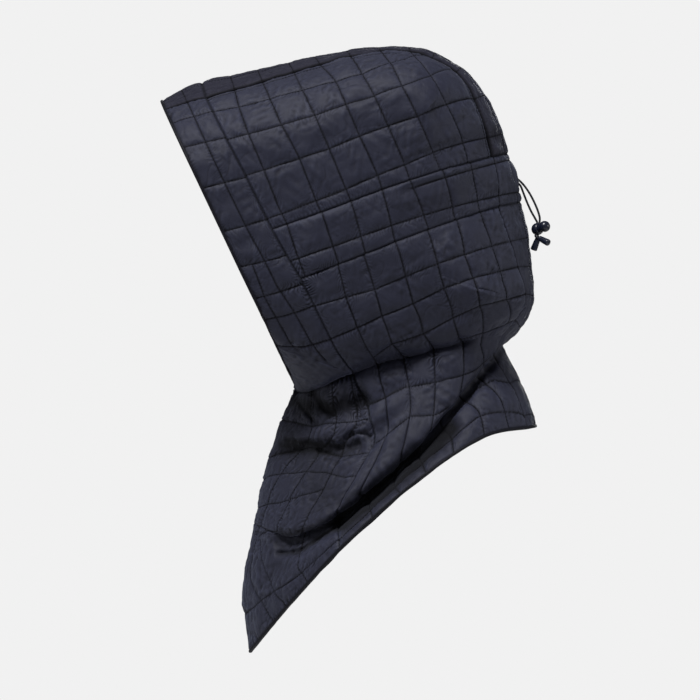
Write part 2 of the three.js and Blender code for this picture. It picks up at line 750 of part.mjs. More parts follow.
// The lock's own frame: its axis is local Y, and the cords run down it along local -Z.
const lockAxis = new THREE.Vector3(...LOCK_AXIS).normalize();
const lockDown = new THREE.Vector3(...LOCK_ACROSS);
lockDown.addScaledVector(lockAxis, -lockDown.dot(lockAxis)).normalize();
const lockSide = lockAxis.clone().cross(lockDown);
const lockFrame = new THREE.Matrix4()
  .makeBasis(lockSide.clone().negate(), lockAxis, lockDown.clone().negate())
  .setPosition(...LOCK_CENTRE);

// A turned solid about the lock's axis, from its half section as [radius, along].
function turnedSolid(section) {
  const points = section.map(([radius, along]) => new THREE.Vector2(radius, along));
  return new THREE.LatheGeometry([...points, points[0].clone()], BALL_FACETS);
}

// An arc of a ball's half section, between two places along its axis.
function ballArc(centre, radius, from, to, steps) {
  const turn = (along) => Math.asin(THREE.MathUtils.clamp((along - centre) / radius, -1, 1));
  return range(turn(from), turn(to), steps).map((angle) => [
    radius * Math.cos(angle),
    centre + radius * Math.sin(angle),
  ]);
}

const slotHalf = CORD_SPREAD + CORD_DIAMETER / 2 + CORD_CLEARANCE;
const cordHalf = CORD_DIAMETER / 2 + CORD_CLEARANCE;
const lockHole = new THREE.BoxGeometry(2 * slotHalf, 2 * cordHalf, 4 * LOCK_RADIUS);
const lockBody = turnedSolid([
  [0, LOCK_BORE.floor],
  [0, -LOCK_RADIUS],
  ...ballArc(0, LOCK_RADIUS, -LOCK_RADIUS, LOCK_MOUTH, 10).slice(1),
  [LOCK_BORE.radius, LOCK_MOUTH],
  [LOCK_BORE.radius, LOCK_BORE.floor + LOCK_BORE.rise],
  [LOCK_BORE.flat, LOCK_BORE.floor],
]);
addMesh("cord_lock_body", cut(lockBody, lockHole), lockPlastic).applyMatrix4(lockFrame);

const stemSlot = new THREE.BoxGeometry(2 * slotHalf, 2 * cordHalf + BUTTON_TRAVEL, 4 * LOCK_RADIUS);
stemSlot.translate(0, BUTTON_TRAVEL / 2, 0);
const button = turnedSolid([
  [0, STEM.end],
  [STEM.flat, STEM.end],
  [STEM.radius, STEM.end + STEM.rise],
  [STEM.radius, BUTTON_FLAT],
  ...ballArc(BUTTON_CENTRE, BUTTON_RADIUS, BUTTON_FLAT, BUTTON_CENTRE + BUTTON_RADIUS, 9),
]);
addMesh("cord_lock_button", cut(button, stemSlot), lockPlastic).applyMatrix4(lockFrame);

const endDirection = (strand) => new THREE.Vector3(...strand.end.toward).normalize();

// A strand's whole way: from the casing, straight through the lock's hole, and straight into its cord end.
function strandPath(strand) {
  const { side, above, below, end } = strand;
  const inLock = [-LOCK_RADIUS, 0, LOCK_RADIUS].map((along) =>
    new THREE.Vector3(...LOCK_CENTRE)
      .addScaledVector(lockSide, side * CORD_SPREAD)
      .addScaledVector(lockDown, along),
  );
  const inEnd = [-1.5, 1, CORD_END.deep - CORD_CLEARANCE].map((along) =>
    new THREE.Vector3(...end.mouth).addScaledVector(endDirection(strand), along),
  );
  const free = (points) => points.map((point) => new THREE.Vector3(...point));
  const way = [...free(above), ...inLock, ...free(below), ...inEnd];
  return new THREE.CatmullRomCurve3(way, false, "centripetal");
}

const cordSection = new THREE.Shape().absarc(0, 0, CORD_DIAMETER / 2, 0, 2 * Math.PI);
for (const strand of STRANDS) {
  const path = strandPath(strand);
  const geometry = new THREE.ExtrudeGeometry(cordSection, {
    steps: CORD_STEPS,
    curveSegments: CORD_SIDES / 2,
    extrudePath: path,
    bevelEnabled: false,
  });
  addMesh(`drawcord_${strand.name}`, geometry, cordBlack);

  // A cord end: a plug that widens away from the cord, hollow where the cord goes in.
  const plug = new THREE.LatheGeometry(
    [
      [0, CORD_END.deep],
      [CORD_END.bore, CORD_END.deep],
      [CORD_END.bore, 0],
      [CORD_END.near, 0],
      [CORD_END.near + 0.3, 1],
      [CORD_END.far, strand.end.length - 1.5],
      [CORD_END.far - 0.8, strand.end.length],
      [0, strand.end.length],
      [0, CORD_END.deep],
    ].map(([radius, along]) => new THREE.Vector2(radius, along)),
    16,
  );
  const plugMesh = addMesh(`cord_end_${strand.name}`, plug, lockPlastic);
  plugMesh.quaternion.setFromUnitVectors(new THREE.Vector3(0, 1, 0), endDirection(strand));
  plugMesh.position.set(...strand.end.mouth);
}

export default hood;
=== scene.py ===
# %% [markdown]
# # A quilted nylon hood
# The hood is sewn from padded panels: two sheets of thin nylon with wadding between, stitched through in a
# grid. What the eye reads is the relief of that stitching, so each panel is modelled as a closed cushion
# whose face dips at every stitch line. The solids of the frame give the places and the sizes, and each
# panel made here replaces one of them.

import bpy
import numpy as np
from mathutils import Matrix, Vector


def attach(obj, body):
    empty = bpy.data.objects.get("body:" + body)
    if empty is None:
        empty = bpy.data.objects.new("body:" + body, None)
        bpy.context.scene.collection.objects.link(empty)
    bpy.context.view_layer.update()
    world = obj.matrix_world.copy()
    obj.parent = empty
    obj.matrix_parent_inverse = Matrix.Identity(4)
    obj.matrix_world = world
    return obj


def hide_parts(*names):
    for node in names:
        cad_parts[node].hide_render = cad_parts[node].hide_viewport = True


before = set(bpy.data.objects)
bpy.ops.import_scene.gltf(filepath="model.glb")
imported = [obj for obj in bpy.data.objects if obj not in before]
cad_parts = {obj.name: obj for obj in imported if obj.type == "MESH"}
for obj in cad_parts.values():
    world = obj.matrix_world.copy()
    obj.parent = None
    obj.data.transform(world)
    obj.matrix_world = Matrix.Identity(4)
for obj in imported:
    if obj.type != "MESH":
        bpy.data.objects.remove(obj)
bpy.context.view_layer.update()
MM = 0.001
FINE = 1.2  # mm between the points of a panel's face

# %% [markdown]
# ## The camera
# The photograph looks straight at the wearer's left side from far away, so that lines that run back hardly
# draw together. A long lens nine metres off does the same. One millimetre at the middle of the hood is one
# pixel of the picture.

# %% Camera
CAMERA_DISTANCE, FRAME_WIDTH = 9.0, 0.7
FRAME_MIDDLE = Vector((0, -0.05, -0.296))
camera = bpy.data.objects.new("camera", bpy.data.cameras.new("camera"))
camera.data.lens = camera.data.sensor_width * CAMERA_DISTANCE / FRAME_WIDTH
camera.data.clip_end = 60
camera.location = FRAME_MIDDLE + Vector((CAMERA_DISTANCE, 0, 0))
camera.rotation_euler = (np.pi / 2, 0, np.pi / 2)
bpy.context.scene.collection.objects.link(camera)
bpy.context.scene.camera = camera
print("lens", round(camera.data.lens), "mm")

# %% [markdown]
# ## Shader maths as Python
# Materials are easier to read as sums and products than as a web of nodes. This class wraps one output of a
# node: arithmetic on it adds Math nodes, and `add` puts in a node of any other kind.


# %% A wrapper for sockets
class Wire:
    def __init__(self, tree, socket=None):
        self.tree, self.socket = tree, socket

    def add(self, kind, settings=None, output=0, **inputs):
        """New node: settings first, then sockets by name (with _ for a space) or by number as n0, n1."""
        node = self.tree.nodes.new(kind)
        for key, value in (settings or {}).items():
            setattr(node, key, value)
        for key, value in inputs.items():
            name = int(key[1:]) if key[0] == "n" and key[1:].isdigit() else key.replace("_", " ")
            if isinstance(value, Wire):
                self.tree.links.new(value.socket, node.inputs[name])
            else:
                node.inputs[name].default_value = value
        return Wire(self.tree, node.outputs[output])

    def math(self, operation, *values):
        sockets = {f"n{k}": value for k, value in enumerate(values)}
        return self.add("ShaderNodeMath", {"operation": operation}, **sockets)

    __add__ = __radd__ = lambda self, other: self.math("ADD", self, other)
    __mul__ = __rmul__ = lambda self, other: self.math("MULTIPLY", self, other)
    __sub__ = lambda self, other: self.math("SUBTRACT", self, other)
    __pow__ = lambda self, other: self.math("POWER", self, other)
    sine = lambda self: self.math("SINE", self)

    def noise(self, scale, detail=2, roughness=0.5):
        """Noise on this coordinate, about 0 to 1."""
        return self.add("ShaderNodeTexNoise", Vector=self, Scale=scale, Detail=detail, Roughness=roughness)

    def blend(self, dark, light):
        """Colour between two, by this number."""
        return self.add("ShaderNodeMix", {"data_type": "RGBA"}, output=2, Factor=self, n6=dark, n7=light)


def new_material(name, build, **constants):
    """Material whose Principled shader takes constants on its own sockets and links from build's dict."""
    material = bpy.data.materials.new(name)
    material.use_nodes = True
    shader = material.node_tree.nodes["Principled BSDF"]
    for socket, value in constants.items():
        shader.inputs[socket.replace("_", " ")].default_value = value
    for socket, wire in build(Wire(material.node_tree)).items():
        material.node_tree.links.new(wire.socket, shader.inputs[socket])
    return material


# %% [markdown]
# ## Nylon, binding, cord and lock
# The shell is a fine plain-woven nylon: at arm's length the yarns are too small to see, but they break the
# light into a soft satin. The pattern follows the cloth through its UV map, which counts decimetres along the
# panel. The dye is even, so the colour changes only a little where the cloth is rubbed.
#
# Each panel also carries a number of painted shading at every point: 1 down in a seam, a stitch line, a fold
# or a hollow, 0 on open cloth, and -1 on a ridge. Painted shade makes hollows darker, and they are also
# rougher;
# painted highlight makes ridges paler. The strips over the crown and the forehead are of a darker cloth.

# %% Materials
YARN = 0.45  # mm from yarn to yarn
DECIMETRE = 100
PAINTED_SHADE_COLOUR = (0.0012, 0.0012, 0.0024, 1)  # painted shade: the near-black colour of the cloth in seams, stitch lines, hollows and folds


def cloth_coordinates(wire):
    """The cloth's UV, and its two numbers one by one."""
    uv = wire.add("ShaderNodeUVMap", {"uv_map": "cloth"})
    across = wire.add("ShaderNodeSeparateXYZ", Vector=uv)
    return uv, across, Wire(wire.tree, across.socket.node.outputs[1])


def object_place(wire):
    return wire.add("ShaderNodeTexCoord", output=3)


def woven_nylon(name, dark, light, worn_and_highlight, **constants):
    """Yarns are sin(across) sin(down). The colour runs from dark to light by noise, and to the worn colour
    where the cloth is worn; on a ridge it turns to that colour too, as painted highlight, and in seams, stitch
    lines, hollows and folds it turns near black, as painted shade."""

    def build(wire):
        uv, across, down = cloth_coordinates(wire)
        place = object_place(wire)
        turn = 2 * np.pi * DECIMETRE / YARN
        weave = (across * turn).sine() * (down * turn).sine()
        slub = uv.noise(140, 3)
        cloud = place.noise(38, 3)
        rub = place.noise(190, 3, 0.6)
        gather = wire.add("ShaderNodeAttribute", {"attribute_name": "gather"}, output=2)
        # the painted shading number, split into painted shade above 0 and painted highlight on ridges below 0
        low = wire.math("MAXIMUM", gather, 0)
        high = wire.math("MAXIMUM", gather * -1, 0)
        colour = (cloud * 0.7 + slub * 0.3).blend(dark, light)
        worn = ((rub ** 4) * 0.5).blend(colour, worn_and_highlight)
        # painted highlight: ridges turn toward the worn colour
        ridge = (high * 0.5).blend(worn, worn_and_highlight)
        height = weave * 0.25 + slub * 1.0 + rub * 0.8
        return {
            # painted shade: seams, stitch lines, hollows and folds turn near black
            "Base Color": (low * 0.96).blend(ridge, PAINTED_SHADE_COLOUR),
            "Roughness": 0.47 + cloud * 0.13 + slub * 0.06 + low * 0.34,
            "Normal": wire.add("ShaderNodeBump", Strength=0.5, Distance=0.00022, Height=height),
        }

    return new_material(name, build, **constants)


BLUE_SHEEN = dict(Sheen_Roughness=0.4, Sheen_Tint=(0.62, 0.7, 1, 1))
nylon = woven_nylon(
    "woven_nylon", (0.0096, 0.0103, 0.0205, 1), (0.0143, 0.0153, 0.031, 1), (0.04, 0.045, 0.078, 1),
    Sheen_Weight=0.07, Specular_IOR_Level=0.22, **BLUE_SHEEN,
)
dark_nylon = woven_nylon(
    "woven_nylon_crown", (0.0078, 0.0075, 0.0145, 1), (0.0122, 0.0116, 0.0215, 1), (0.034, 0.034, 0.055, 1),
    Sheen_Weight=0.05, Specular_IOR_Level=0.15, **BLUE_SHEEN,
)
# The tape is darker than the shell and without sheen: partly its own colour, partly painted shade for the dark
# line along the face edge and the hem.
tape = woven_nylon(
    "binding_tape", (0.003, 0.0032, 0.0055, 1), (0.005, 0.0053, 0.009, 1), (0.012, 0.013, 0.02, 1),
    Specular_IOR_Level=0.12,
)


def spun_thread(wire):
    twist = object_place(wire).noise(1400, 2)
    bump = wire.add("ShaderNodeBump", Strength=0.5, Distance=0.0001, Height=twist)
    return {"Base Color": twist.blend((0.0012, 0.0012, 0.0018, 1), (0.003, 0.003, 0.0045, 1)), "Normal": bump}


def braided(wire):
    """Two sets of strands wind round the cord, and the colour is painted darker between the raised strands, as
    painted shade.
    """
    uv, across, down = cloth_coordinates(wire)
    round_, along = across * (2 * np.pi * 6), down * (2 * np.pi * 45)
    height = wire.math("MAXIMUM", (round_ + along).sine(), (round_ - along).sine())
    fibre = uv.noise(300, 2)
    bump = wire.add("ShaderNodeBump", Strength=0.7, Distance=0.00015, Height=height * 0.8 + fibre * 0.4)
    return {
        "Base Color": (height * 0.4 + 0.4).blend((0.0025, 0.003, 0.005, 1), (0.009, 0.01, 0.017, 1)),
        "Roughness": 0.75 + fibre * 0.15,
        "Normal": bump,
    }


def moulded(wire):
    """A fine grain, and slow wear that pales and dulls the plastic."""
    place = object_place(wire)
    grain, wear = place.noise(2600, 2), place.noise(260, 3)
    return {
        "Base Color": wear.blend((0.004, 0.0055, 0.013, 1), (0.009, 0.0125, 0.028, 1)),
        "Roughness": 0.24 + wear * 0.12 + grain * 0.05,
        "Normal": wire.add("ShaderNodeBump", Strength=0.25, Distance=0.00006, Height=grain),
    }


thread = new_material("thread", spun_thread, Roughness=0.8, Specular_IOR_Level=0.1)
braid = new_material("braided_cord", braided, Sheen_Weight=0.08, Specular_IOR_Level=0.3)
plastic = new_material("moulded_plastic", moulded, Specular_IOR_Level=0.4)
print("materials:", [m.name for m in (nylon, dark_nylon, tape, thread, braid, plastic)])

# %% [markdown]
# ## Meshes from arrays
# Everything below is points and indices worked out with numpy. A closed mesh whose faces point inwards has a
# negative volume, which is how the helper knows to turn it round.


# %% Mesh helper
def mesh_object(name, points, faces, material, uv=None, gather=None):
    """Mesh in metres from millimetre points and a list of index arrays (one per number of corners), smooth
    shaded, with one UV layer, joined to the scene."""
    loops = np.concatenate([f.ravel() for f in faces]).astype(np.int32)
    sizes = np.concatenate([np.full(len(f), f.shape[1]) for f in faces])
    mesh = bpy.data.meshes.new(name)
    mesh.vertices.add(len(points))
    mesh.vertices.foreach_set("co", (points * MM).astype(np.float32).ravel())
    mesh.loops.add(len(loops))
    mesh.loops.foreach_set("vertex_index", loops)
    mesh.polygons.add(len(sizes))
    mesh.polygons.foreach_set("loop_start", (np.cumsum(sizes) - sizes).astype(np.int32))
    mesh.update(calc_edges=True)
    if uv is not None:
        layer = mesh.uv_layers.new(name="cloth")
        layer.data.foreach_set("uv", uv[loops].astype(np.float32).ravel())
    if gather is not None:
        mesh.attributes.new("gather", "FLOAT", "POINT").data.foreach_set("value", gather.astype(np.float32))
    mesh.shade_smooth()
    mesh.materials.append(material)
    obj = bpy.data.objects.new(name, mesh)
    bpy.context.scene.collection.objects.link(obj)
    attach(obj, "root")
    return obj


def tube(rings, closed=False):
    """Faces of a tube whose rings are rings[n, sides, 3]: quads between rings, and a fan at each open end."""
    count, sides = rings.shape[:2]
    index = np.arange(count * sides).reshape(count, sides)
    after = np.roll(index, -1, axis=1)
    low, high = (index, np.roll(index, -1, axis=0)) if closed else (index[:-1], index[1:])
    low_after = after if closed else after[:-1]
    high_after = np.roll(after, -1, axis=0) if closed else after[1:]
    quads = np.stack([low, low_after, high_after, high], axis=-1).reshape(-1, 4)
    if closed:
        return [quads]
    fan = lambda ring, hub: np.stack([ring, np.full(sides, hub), np.roll(ring, -1)], axis=-1)
    ends = np.concatenate([fan(index[0], count * sides), fan(index[-1], count * sides + 1)[:, ::-1]])
    return [quads, ends]


def volume(points, faces):
    """Signed volume: one sixth of the sum of a . (b x c) over the triangles of the faces."""
    total = 0
    for f in faces:
        for k in range(1, f.shape[1] - 1):
            a, b, c = points[f[:, 0]], points[f[:, k]], points[f[:, k + 1]]
            total += (a * np.cross(b, c)).sum() / 6
    return total


def outward(points, faces):
    return faces if volume(points, faces) > 0 else [f[:, ::-1] for f in faces]


def capped_tube(name, rings, poles, material, uv=None):
    """Object made of rings[n, sides, 3], closed by a fan to a pole at each end."""
    points = np.concatenate([rings.reshape(-1, 3), poles])
    return mesh_object(name, points, outward(points, tube(rings)), material, uv)


# %% [markdown]
# Two kinds of curve carry everything. `track` is a cubic through the rows of a table, asked for by row
# number. `centripetal` is the Catmull-Rom curve whose spans are timed by the square root of their chord,
# which never loops where rows lie close together, as they do in the fold of the cowl.


# %% Curves as whole arrays
def track(rows, at):
    """Cubic through the rows: each span is b + t(m + t(3(c-b) - 2m - n + t(2(b-c) + m + n))), where the
    slopes m and n are half the difference of the rows on either side."""
    rows, at = np.asarray(rows, float), np.asarray(at, float)
    padded = np.concatenate([2 * rows[:1] - rows[1:2], rows, 2 * rows[-1:] - rows[-2:-1]])
    i = np.clip(np.floor(at).astype(int), 0, len(rows) - 2)
    t = (at - i)[..., None]
    a, b, c, d = (padded[i + k] for k in range(4))
    m, n = (c - a) / 2, (d - b) / 2
    return b + t * (m + t * (3 * (c - b) - 2 * m - n + t * (2 * (b - c) + m + n)))


def look_up(table, column, at):
    """Value of a column at a place in the table's first column, by the same cubic."""
    keys = table[:, 0]
    i = np.clip(np.searchsorted(keys, at, side="right") - 1, 0, len(keys) - 2)
    share = np.clip((at - keys[i]) / (keys[i + 1] - keys[i]), 0, 1)
    return track(table[:, column : column + 1], i + share)[..., 0]


def centripetal(points, at):
    """Catmull-Rom curve through points[..., n, 3] at span numbers: knots are the square root of the chord,
    and past either end the curve goes straight on."""
    n = points.shape[-2]
    first = 2 * points[..., :1, :] - points[..., 1:2, :]
    last = 2 * points[..., -1:, :] - points[..., -2:-1, :]
    padded = np.concatenate([first, points, last], axis=-2)
    i = np.clip(np.floor(at).astype(int), 0, n - 2)
    p = [np.take(padded, i + k, axis=-2) for k in range(4)]
    gap = [np.sqrt(np.linalg.norm(p[k + 1] - p[k], axis=-1, keepdims=True)) + 1e-9 for k in range(3)]
    enter = (p[1] - p[0]) / gap[0] - (p[2] - p[0]) / (gap[0] + gap[1]) + (p[2] - p[1]) / gap[1]
    leave = (p[2] - p[1]) / gap[1] - (p[3] - p[1]) / (gap[1] + gap[2]) + (p[3] - p[2]) / gap[2]
    m, e = enter * gap[1], leave * gap[1]
    t = (at - i)[:, None]
    b, c = p[1], p[2]
    return b + t * (m + t * (3 * (c - b) - 2 * m - e + t * (2 * (b - c) + m + e)))


def mix(a, b, share):
    return a + (b - a) * share


def smooth_step(value):
    """v^2 (3 - 2 v), with v held between 0 and 1."""
    value = np.clip(value, 0, 1)
    return value * value * (3 - 2 * value)


def quarter_ellipse(share):
    """sqrt(1 - (1 - share)^2): steep at 0, level at 1."""
    return np.sqrt(1 - (1 - np.clip(share, 0, 1)) ** 2)


def lengths(points, axis):
    """Running length along one axis of a grid of points, starting at 0."""
    steps = np.linalg.norm(np.diff(points, axis=axis), axis=-1)
    start = np.zeros_like(np.take(steps, [0], axis=axis))
    return np.concatenate([start, np.cumsum(steps, axis=axis)], axis=axis)


def unit(v):
    return v / np.linalg.norm(v, axis=-1, keepdims=True)


# %% [markdown]
# ## The drawcord
# Two strands of a thin braided cord leave one opening at the back of the casing, hang down to the lock, pass
# through its hole side by side, and end in a plug each. The ways are the frame's own, point for point.

# %% The cord's ways
CORD_DIAMETER = 2.2
LOCK_CENTRE = np.array([-1, 137.5, -175])
LOCK_AXIS = unit(np.array([0.755, 0.62, 0.22]))
LOCK_DOWN = np.array([0.384, -0.144, -0.912])
LOCK_DOWN = unit(LOCK_DOWN - LOCK_AXIS * (LOCK_DOWN @ LOCK_AXIS))
LOCK_SIDE = np.cross(LOCK_AXIS, LOCK_DOWN)
LOCK_RADIUS, CORD_SPREAD = 6.2, 1.35  # the spread is from the lock's middle to each strand's
END_DEEP = 5  # how far a strand reaches into its plug
STRANDS = {
    "right": dict(
        side=1,
        above=[[-1.5, 114.2, -123.6], [-1.6, 116.5, -124.4], [-1.8, 121.5, -128.5], [-2.2, 127.5, -136],
               [-2.8, 133, -145.5], [-3.6, 138, -157], [-4, 139.8, -164]],
        below=[],
        mouth=[1.1, 137.9, -184.6],
        toward=[-0.1, -0.36, -0.93],
    ),
    "left": dict(
        side=-1,
        above=[[1.5, 114.4, -128.6], [1.5, 117.4, -129], [1.3, 120.3, -131.6], [0.9, 123, -138],
               [0.2, 126.5, -147], [-1, 131, -157], [-2, 135.2, -164.5]],
        below=[[3.6, 135.6, -182.6]],
        mouth=[7.3, 139.6, -184.4],
        toward=[0.6, 0.7, -0.38],
    ),
}


# %% A way as a smooth line, and a tube along it
def strand_way(strand):
    """Line through the stops above the lock, three in it, those below it and three in the plug."""
    toward = unit(np.array(strand["toward"], float))
    middle = LOCK_CENTRE + strand["side"] * CORD_SPREAD * LOCK_SIDE
    in_lock = [middle + d * LOCK_DOWN for d in (-LOCK_RADIUS, 0, LOCK_RADIUS)]
    in_end = [np.array(strand["mouth"]) + d * toward for d in (-1.5, 1, END_DEEP - 0.3)]
    stops = np.array([*strand["above"], *in_lock, *strand["below"], *in_end], float)
    return centripetal(stops, np.linspace(0, len(stops) - 1, 40 * (len(stops) - 1) + 1))


def even_path(path, step):
    run = lengths(path, 0)
    at = np.linspace(0, run[-1], int(run[-1] / step) + 1)
    return np.stack([np.interp(at, run, path[:, k]) for k in range(3)], axis=-1), at


def side_frames(path):
    """Two directions square to the path: tangent x X, and tangent x that. No way runs along X."""
    tangent = unit(np.gradient(path, axis=0))
    side = unit(np.cross(tangent, (1, 0, 0)))
    return side, np.cross(tangent, side)


def braided_tube(path, radius, sides=20):
    """Radius r + 0.06 (max(sin(3 turn + k s), sin(3 turn - k s)) - 1): two sets of raised strands."""
    points, run = even_path(path, 0.4)
    side, other = side_frames(points)
    turn = np.linspace(0, 2 * np.pi, sides, endpoint=False)
    wind = 2 * np.pi * run[:, None] / 2.2
    raised = np.maximum(np.sin(3 * turn + wind), np.sin(3 * turn - wind))
    size = (radius - 0.06 + 0.06 * raised)[..., None]
    spoke = np.cos(turn)[:, None] * side[:, None] + np.sin(turn)[:, None] * other[:, None]
    uv = np.stack(np.broadcast_arrays(turn / (2 * np.pi), run[:, None] / DECIMETRE), axis=-1)
    return points, points[:, None] + size * spoke, uv


for name, strand in STRANDS.items():
    path, rings, uv = braided_tube(strand_way(strand), CORD_DIAMETER / 2)
    spread = np.concatenate([uv.reshape(-1, 2), uv[[0, -1], 0]])
    capped_tube(f"cord_{name}", rings, path[[0, -1]], braid, spread)
    strand["path"], strand["length"] = path, lengths(path, 0)[-1]
    print(name, "strand", round(strand["length"], 1), "mm")

# %% [markdown]
# ## The lock and the cord ends
# All four are turned shapes, so one function makes them: a half section carried round an axis. The hole for
# the cords is cut afterwards with a Boolean modifier, which is applied at once.


# %% Turned parts
def turned(name, section, centre, axis, side, segments=56):
    """Half section [radius, along] carried round the axis: centre + along axis + radius (cos side + sin
    other). The section starts and ends on the axis, and its two poles are single points."""
    section = np.array(section, float)
    other = np.cross(axis, side)
    turn = np.linspace(0, 2 * np.pi, segments, endpoint=False)
    spoke = np.cos(turn)[:, None] * side + np.sin(turn)[:, None] * other
    rings = centre + section[1:-1, None, 1:] * axis + section[1:-1, None, :1] * spoke
    return capped_tube(name, rings, centre + section[[0, -1], 1:] * axis, plastic)


def arc(centre, radius, start, stop, count):
    """Points of a circle about (0, centre), from one angle above the equator to another, in degrees."""
    angle = np.radians(np.linspace(start, stop, count))
    return np.stack([radius * np.cos(angle), centre + radius * np.sin(angle)], axis=-1).tolist()


def slot_tool(thick, shift, height=9):
    """A rounded bar through the lock along the cords: a stadium section, a little wider than they are."""
    turn = np.linspace(0, 2 * np.pi, 40, endpoint=False)
    half = CORD_DIAMETER / 2 + 0.3
    wide = np.sign(np.cos(turn)) * CORD_SPREAD + np.cos(turn) * half
    tall = np.sin(turn) * thick / 2 + shift
    section = wide[:, None] * LOCK_SIDE + tall[:, None] * LOCK_AXIS
    rings = LOCK_CENTRE + section + np.array([-height, height])[:, None, None] * LOCK_DOWN
    return capped_tube("slot_tool", rings, rings.mean(axis=1), plastic)


def cut(obj, tool):
    """Takes the tool's shape out of the object for good, and keeps the edges of the hole sharp."""
    modifier = obj.modifiers.new("slot", "BOOLEAN")
    modifier.operation, modifier.solver, modifier.object = "DIFFERENCE", "EXACT", tool
    shape = bpy.data.meshes.new_from_object(obj.evaluated_get(bpy.context.evaluated_depsgraph_get()))
    obj.modifiers.clear()
    obj.data = shape
    bpy.data.objects.remove(tool)
    obj.data.shade_smooth()
    obj.data.set_sharp_from_angle(angle=np.radians(38))


body = turned(
    "lock_body",
    [[0, -5], [2.6, -5], [3.95, -3.9], [3.95, 3.8], [4.15, 4.15], [4.45, 4.2],
     *arc(0, LOCK_RADIUS, 42, -89, 30), [0, -LOCK_RADIUS]],
    LOCK_CENTRE, LOCK_AXIS, LOCK_SIDE,
)
SLOT, TRAVEL = CORD_DIAMETER + 0.6, 2.2  # the body's hole, and the button's way down to clamp the cords
cut(body, slot_tool(SLOT, 0))
button = turned(
    "lock_button",
    [[0, -2.6], [2.4, -2.6], [3.6, -1.6], [3.6, 6.6], *arc(11.3, 5.6, -50, 89, 32), [0, 16.9]],
    LOCK_CENTRE, LOCK_AXIS, LOCK_SIDE,
)
cut(button, slot_tool(SLOT + TRAVEL, TRAVEL / 2))
for name, strand in STRANDS.items():
    toward = unit(np.array(strand["toward"]))
    side = unit(np.cross(toward, (1, 0, 0)))
    turned(
        f"end_{name}",
        [[0, END_DEEP], [1.45, END_DEEP], [1.45, 0.3], [1.7, 0], [2.45, 0], [2.7, 0.25], [2.85, 1.2],
         [2.75, 1.5], [2.78, 1.8], [3, 3], [3.4, 10.4], [3.42, 11.2], [3.2, 12], [2.6, 12.5], [0, 12.5]],
        np.array(strand["mouth"]), toward, side, 40,
    )

# %% Hiding the frame's cord, ends and lock, and hanging the button on its body
for name, strand in STRANDS.items():
    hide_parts(f"drawcord_{name}")
    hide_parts(f"cord_end_{name}")
    [tuple(p) for p in strand["path"][::4] * MM]
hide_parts("cord_lock_body")
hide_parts("cord_lock_button")
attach(button, "lock_button")

# %% [markdown]
# ## The shape of the hood
# A hood is hard to draw as a box of curves, but easy as one function. Seen from the side it has an outline
# (the ridge), and at each point inside that outline it has a half width. The width grows from nothing at the
# ridge as a quarter ellipse, and is held back near the chin and where the cloth tucks under at the neck.
# The tables are in millimetres, as y and z from the side, and repeat those of the solids.

# %% The ridge, the crown panel's seam and the band's seam
RIDGE = np.array([
    # ridge y, z, seam y, z, depth
    [-240, -47, -235.2, -57.5, 82],
    [-198, -28.5, -193.5, -44, 86],
    [-160, -21.3, -157, -34, 84],
    [-105, -8.3, -102, -17, 76],
    [-47, 3.8, -45, -2, 62],
    [0, 6.8, 1, 2.5, 54],
    [32, 1.5, 29.5, -3.5, 54],
    [62, -14.5, 56.5, -18.5, 64],
    [82, -38, 72.5, -41.5, 84],
    [97, -65.5, 84, -69.5, 104],
    [104.5, -88, 90.5, -91.5, 118],
    [108.5, -99, 93, -103.5, 125],
    [116, -122, 97, -128, 140],
    [121.5, -148, 98.5, -153, 150],
    [128, -176, 108, -180, 135],
    [131.5, -204, 116, -205, 110],
    [134.3, -232, 124, -231, 84],
    [132.5, -254, 125, -250, 70],
    [120, -275, 115, -267, 62],
    [109, -286, 103, -281, 56],
])
BAND_SEAM_ROW, CROWN_CORNER_ROW, CASING_TOP_ROW, CASING_BOTTOM_ROW, CREASE_ROW = 1, 7, 11, 13, 19
BAND_SEAM = np.array([
    [-193.5, -44], [-172, -87], [-149, -132], [-127, -177], [-113, -202],
    [-99, -226], [-87, -250], [-75, -274], [-63, -298], [-47, -319],
])
BAND_AT_CASING_TOP, BAND_AT_CASING_BOTTOM, BAND_AT_CREASE = 3, 5, 9
FACE_EDGE_UP = np.array([302, 254, 206, 158, 134, 112, 92, 73, 57, 43])
CASING_TOP = np.array([[93, -103.5], [40, -118.5], [-15, -136.5], [-70, -157], [-127, -177]])
CASING_BOTTOM = np.array([[98.5, -153], [52, -168.5], [2, -186.5], [-50, -207], [-99, -226]])
CHIN, BRIM = np.array([-106, -331]), np.array([-240, -47])
CHIN_ROUND, CHIN_DEPTH, CHIN_POWER = 130, 70, 2.4
ROW_TILT = np.radians(18)  # of the lines of equal width
HALF_WIDTH = np.array([[-20, 86], [35, 103], [90, 113], [145, 117], [200, 117], [255, 115], [315, 109]])
CREASE = np.array([
    # y, z, share of the width that tucks under
    [-108, -339, 0], [-84, -336, 0.1], [-47, -319, 0.16], [-15, -307, 0.17],
    [25, -299, 0.17], [70, -286, 0.08], [103, -281, 0],
])
CREASE_SIDE = np.array([[103, -281], [70, -286], [18, -300], [-47, -319], [-84, -336], [-108, -339]])
CREASE_REACH = 24

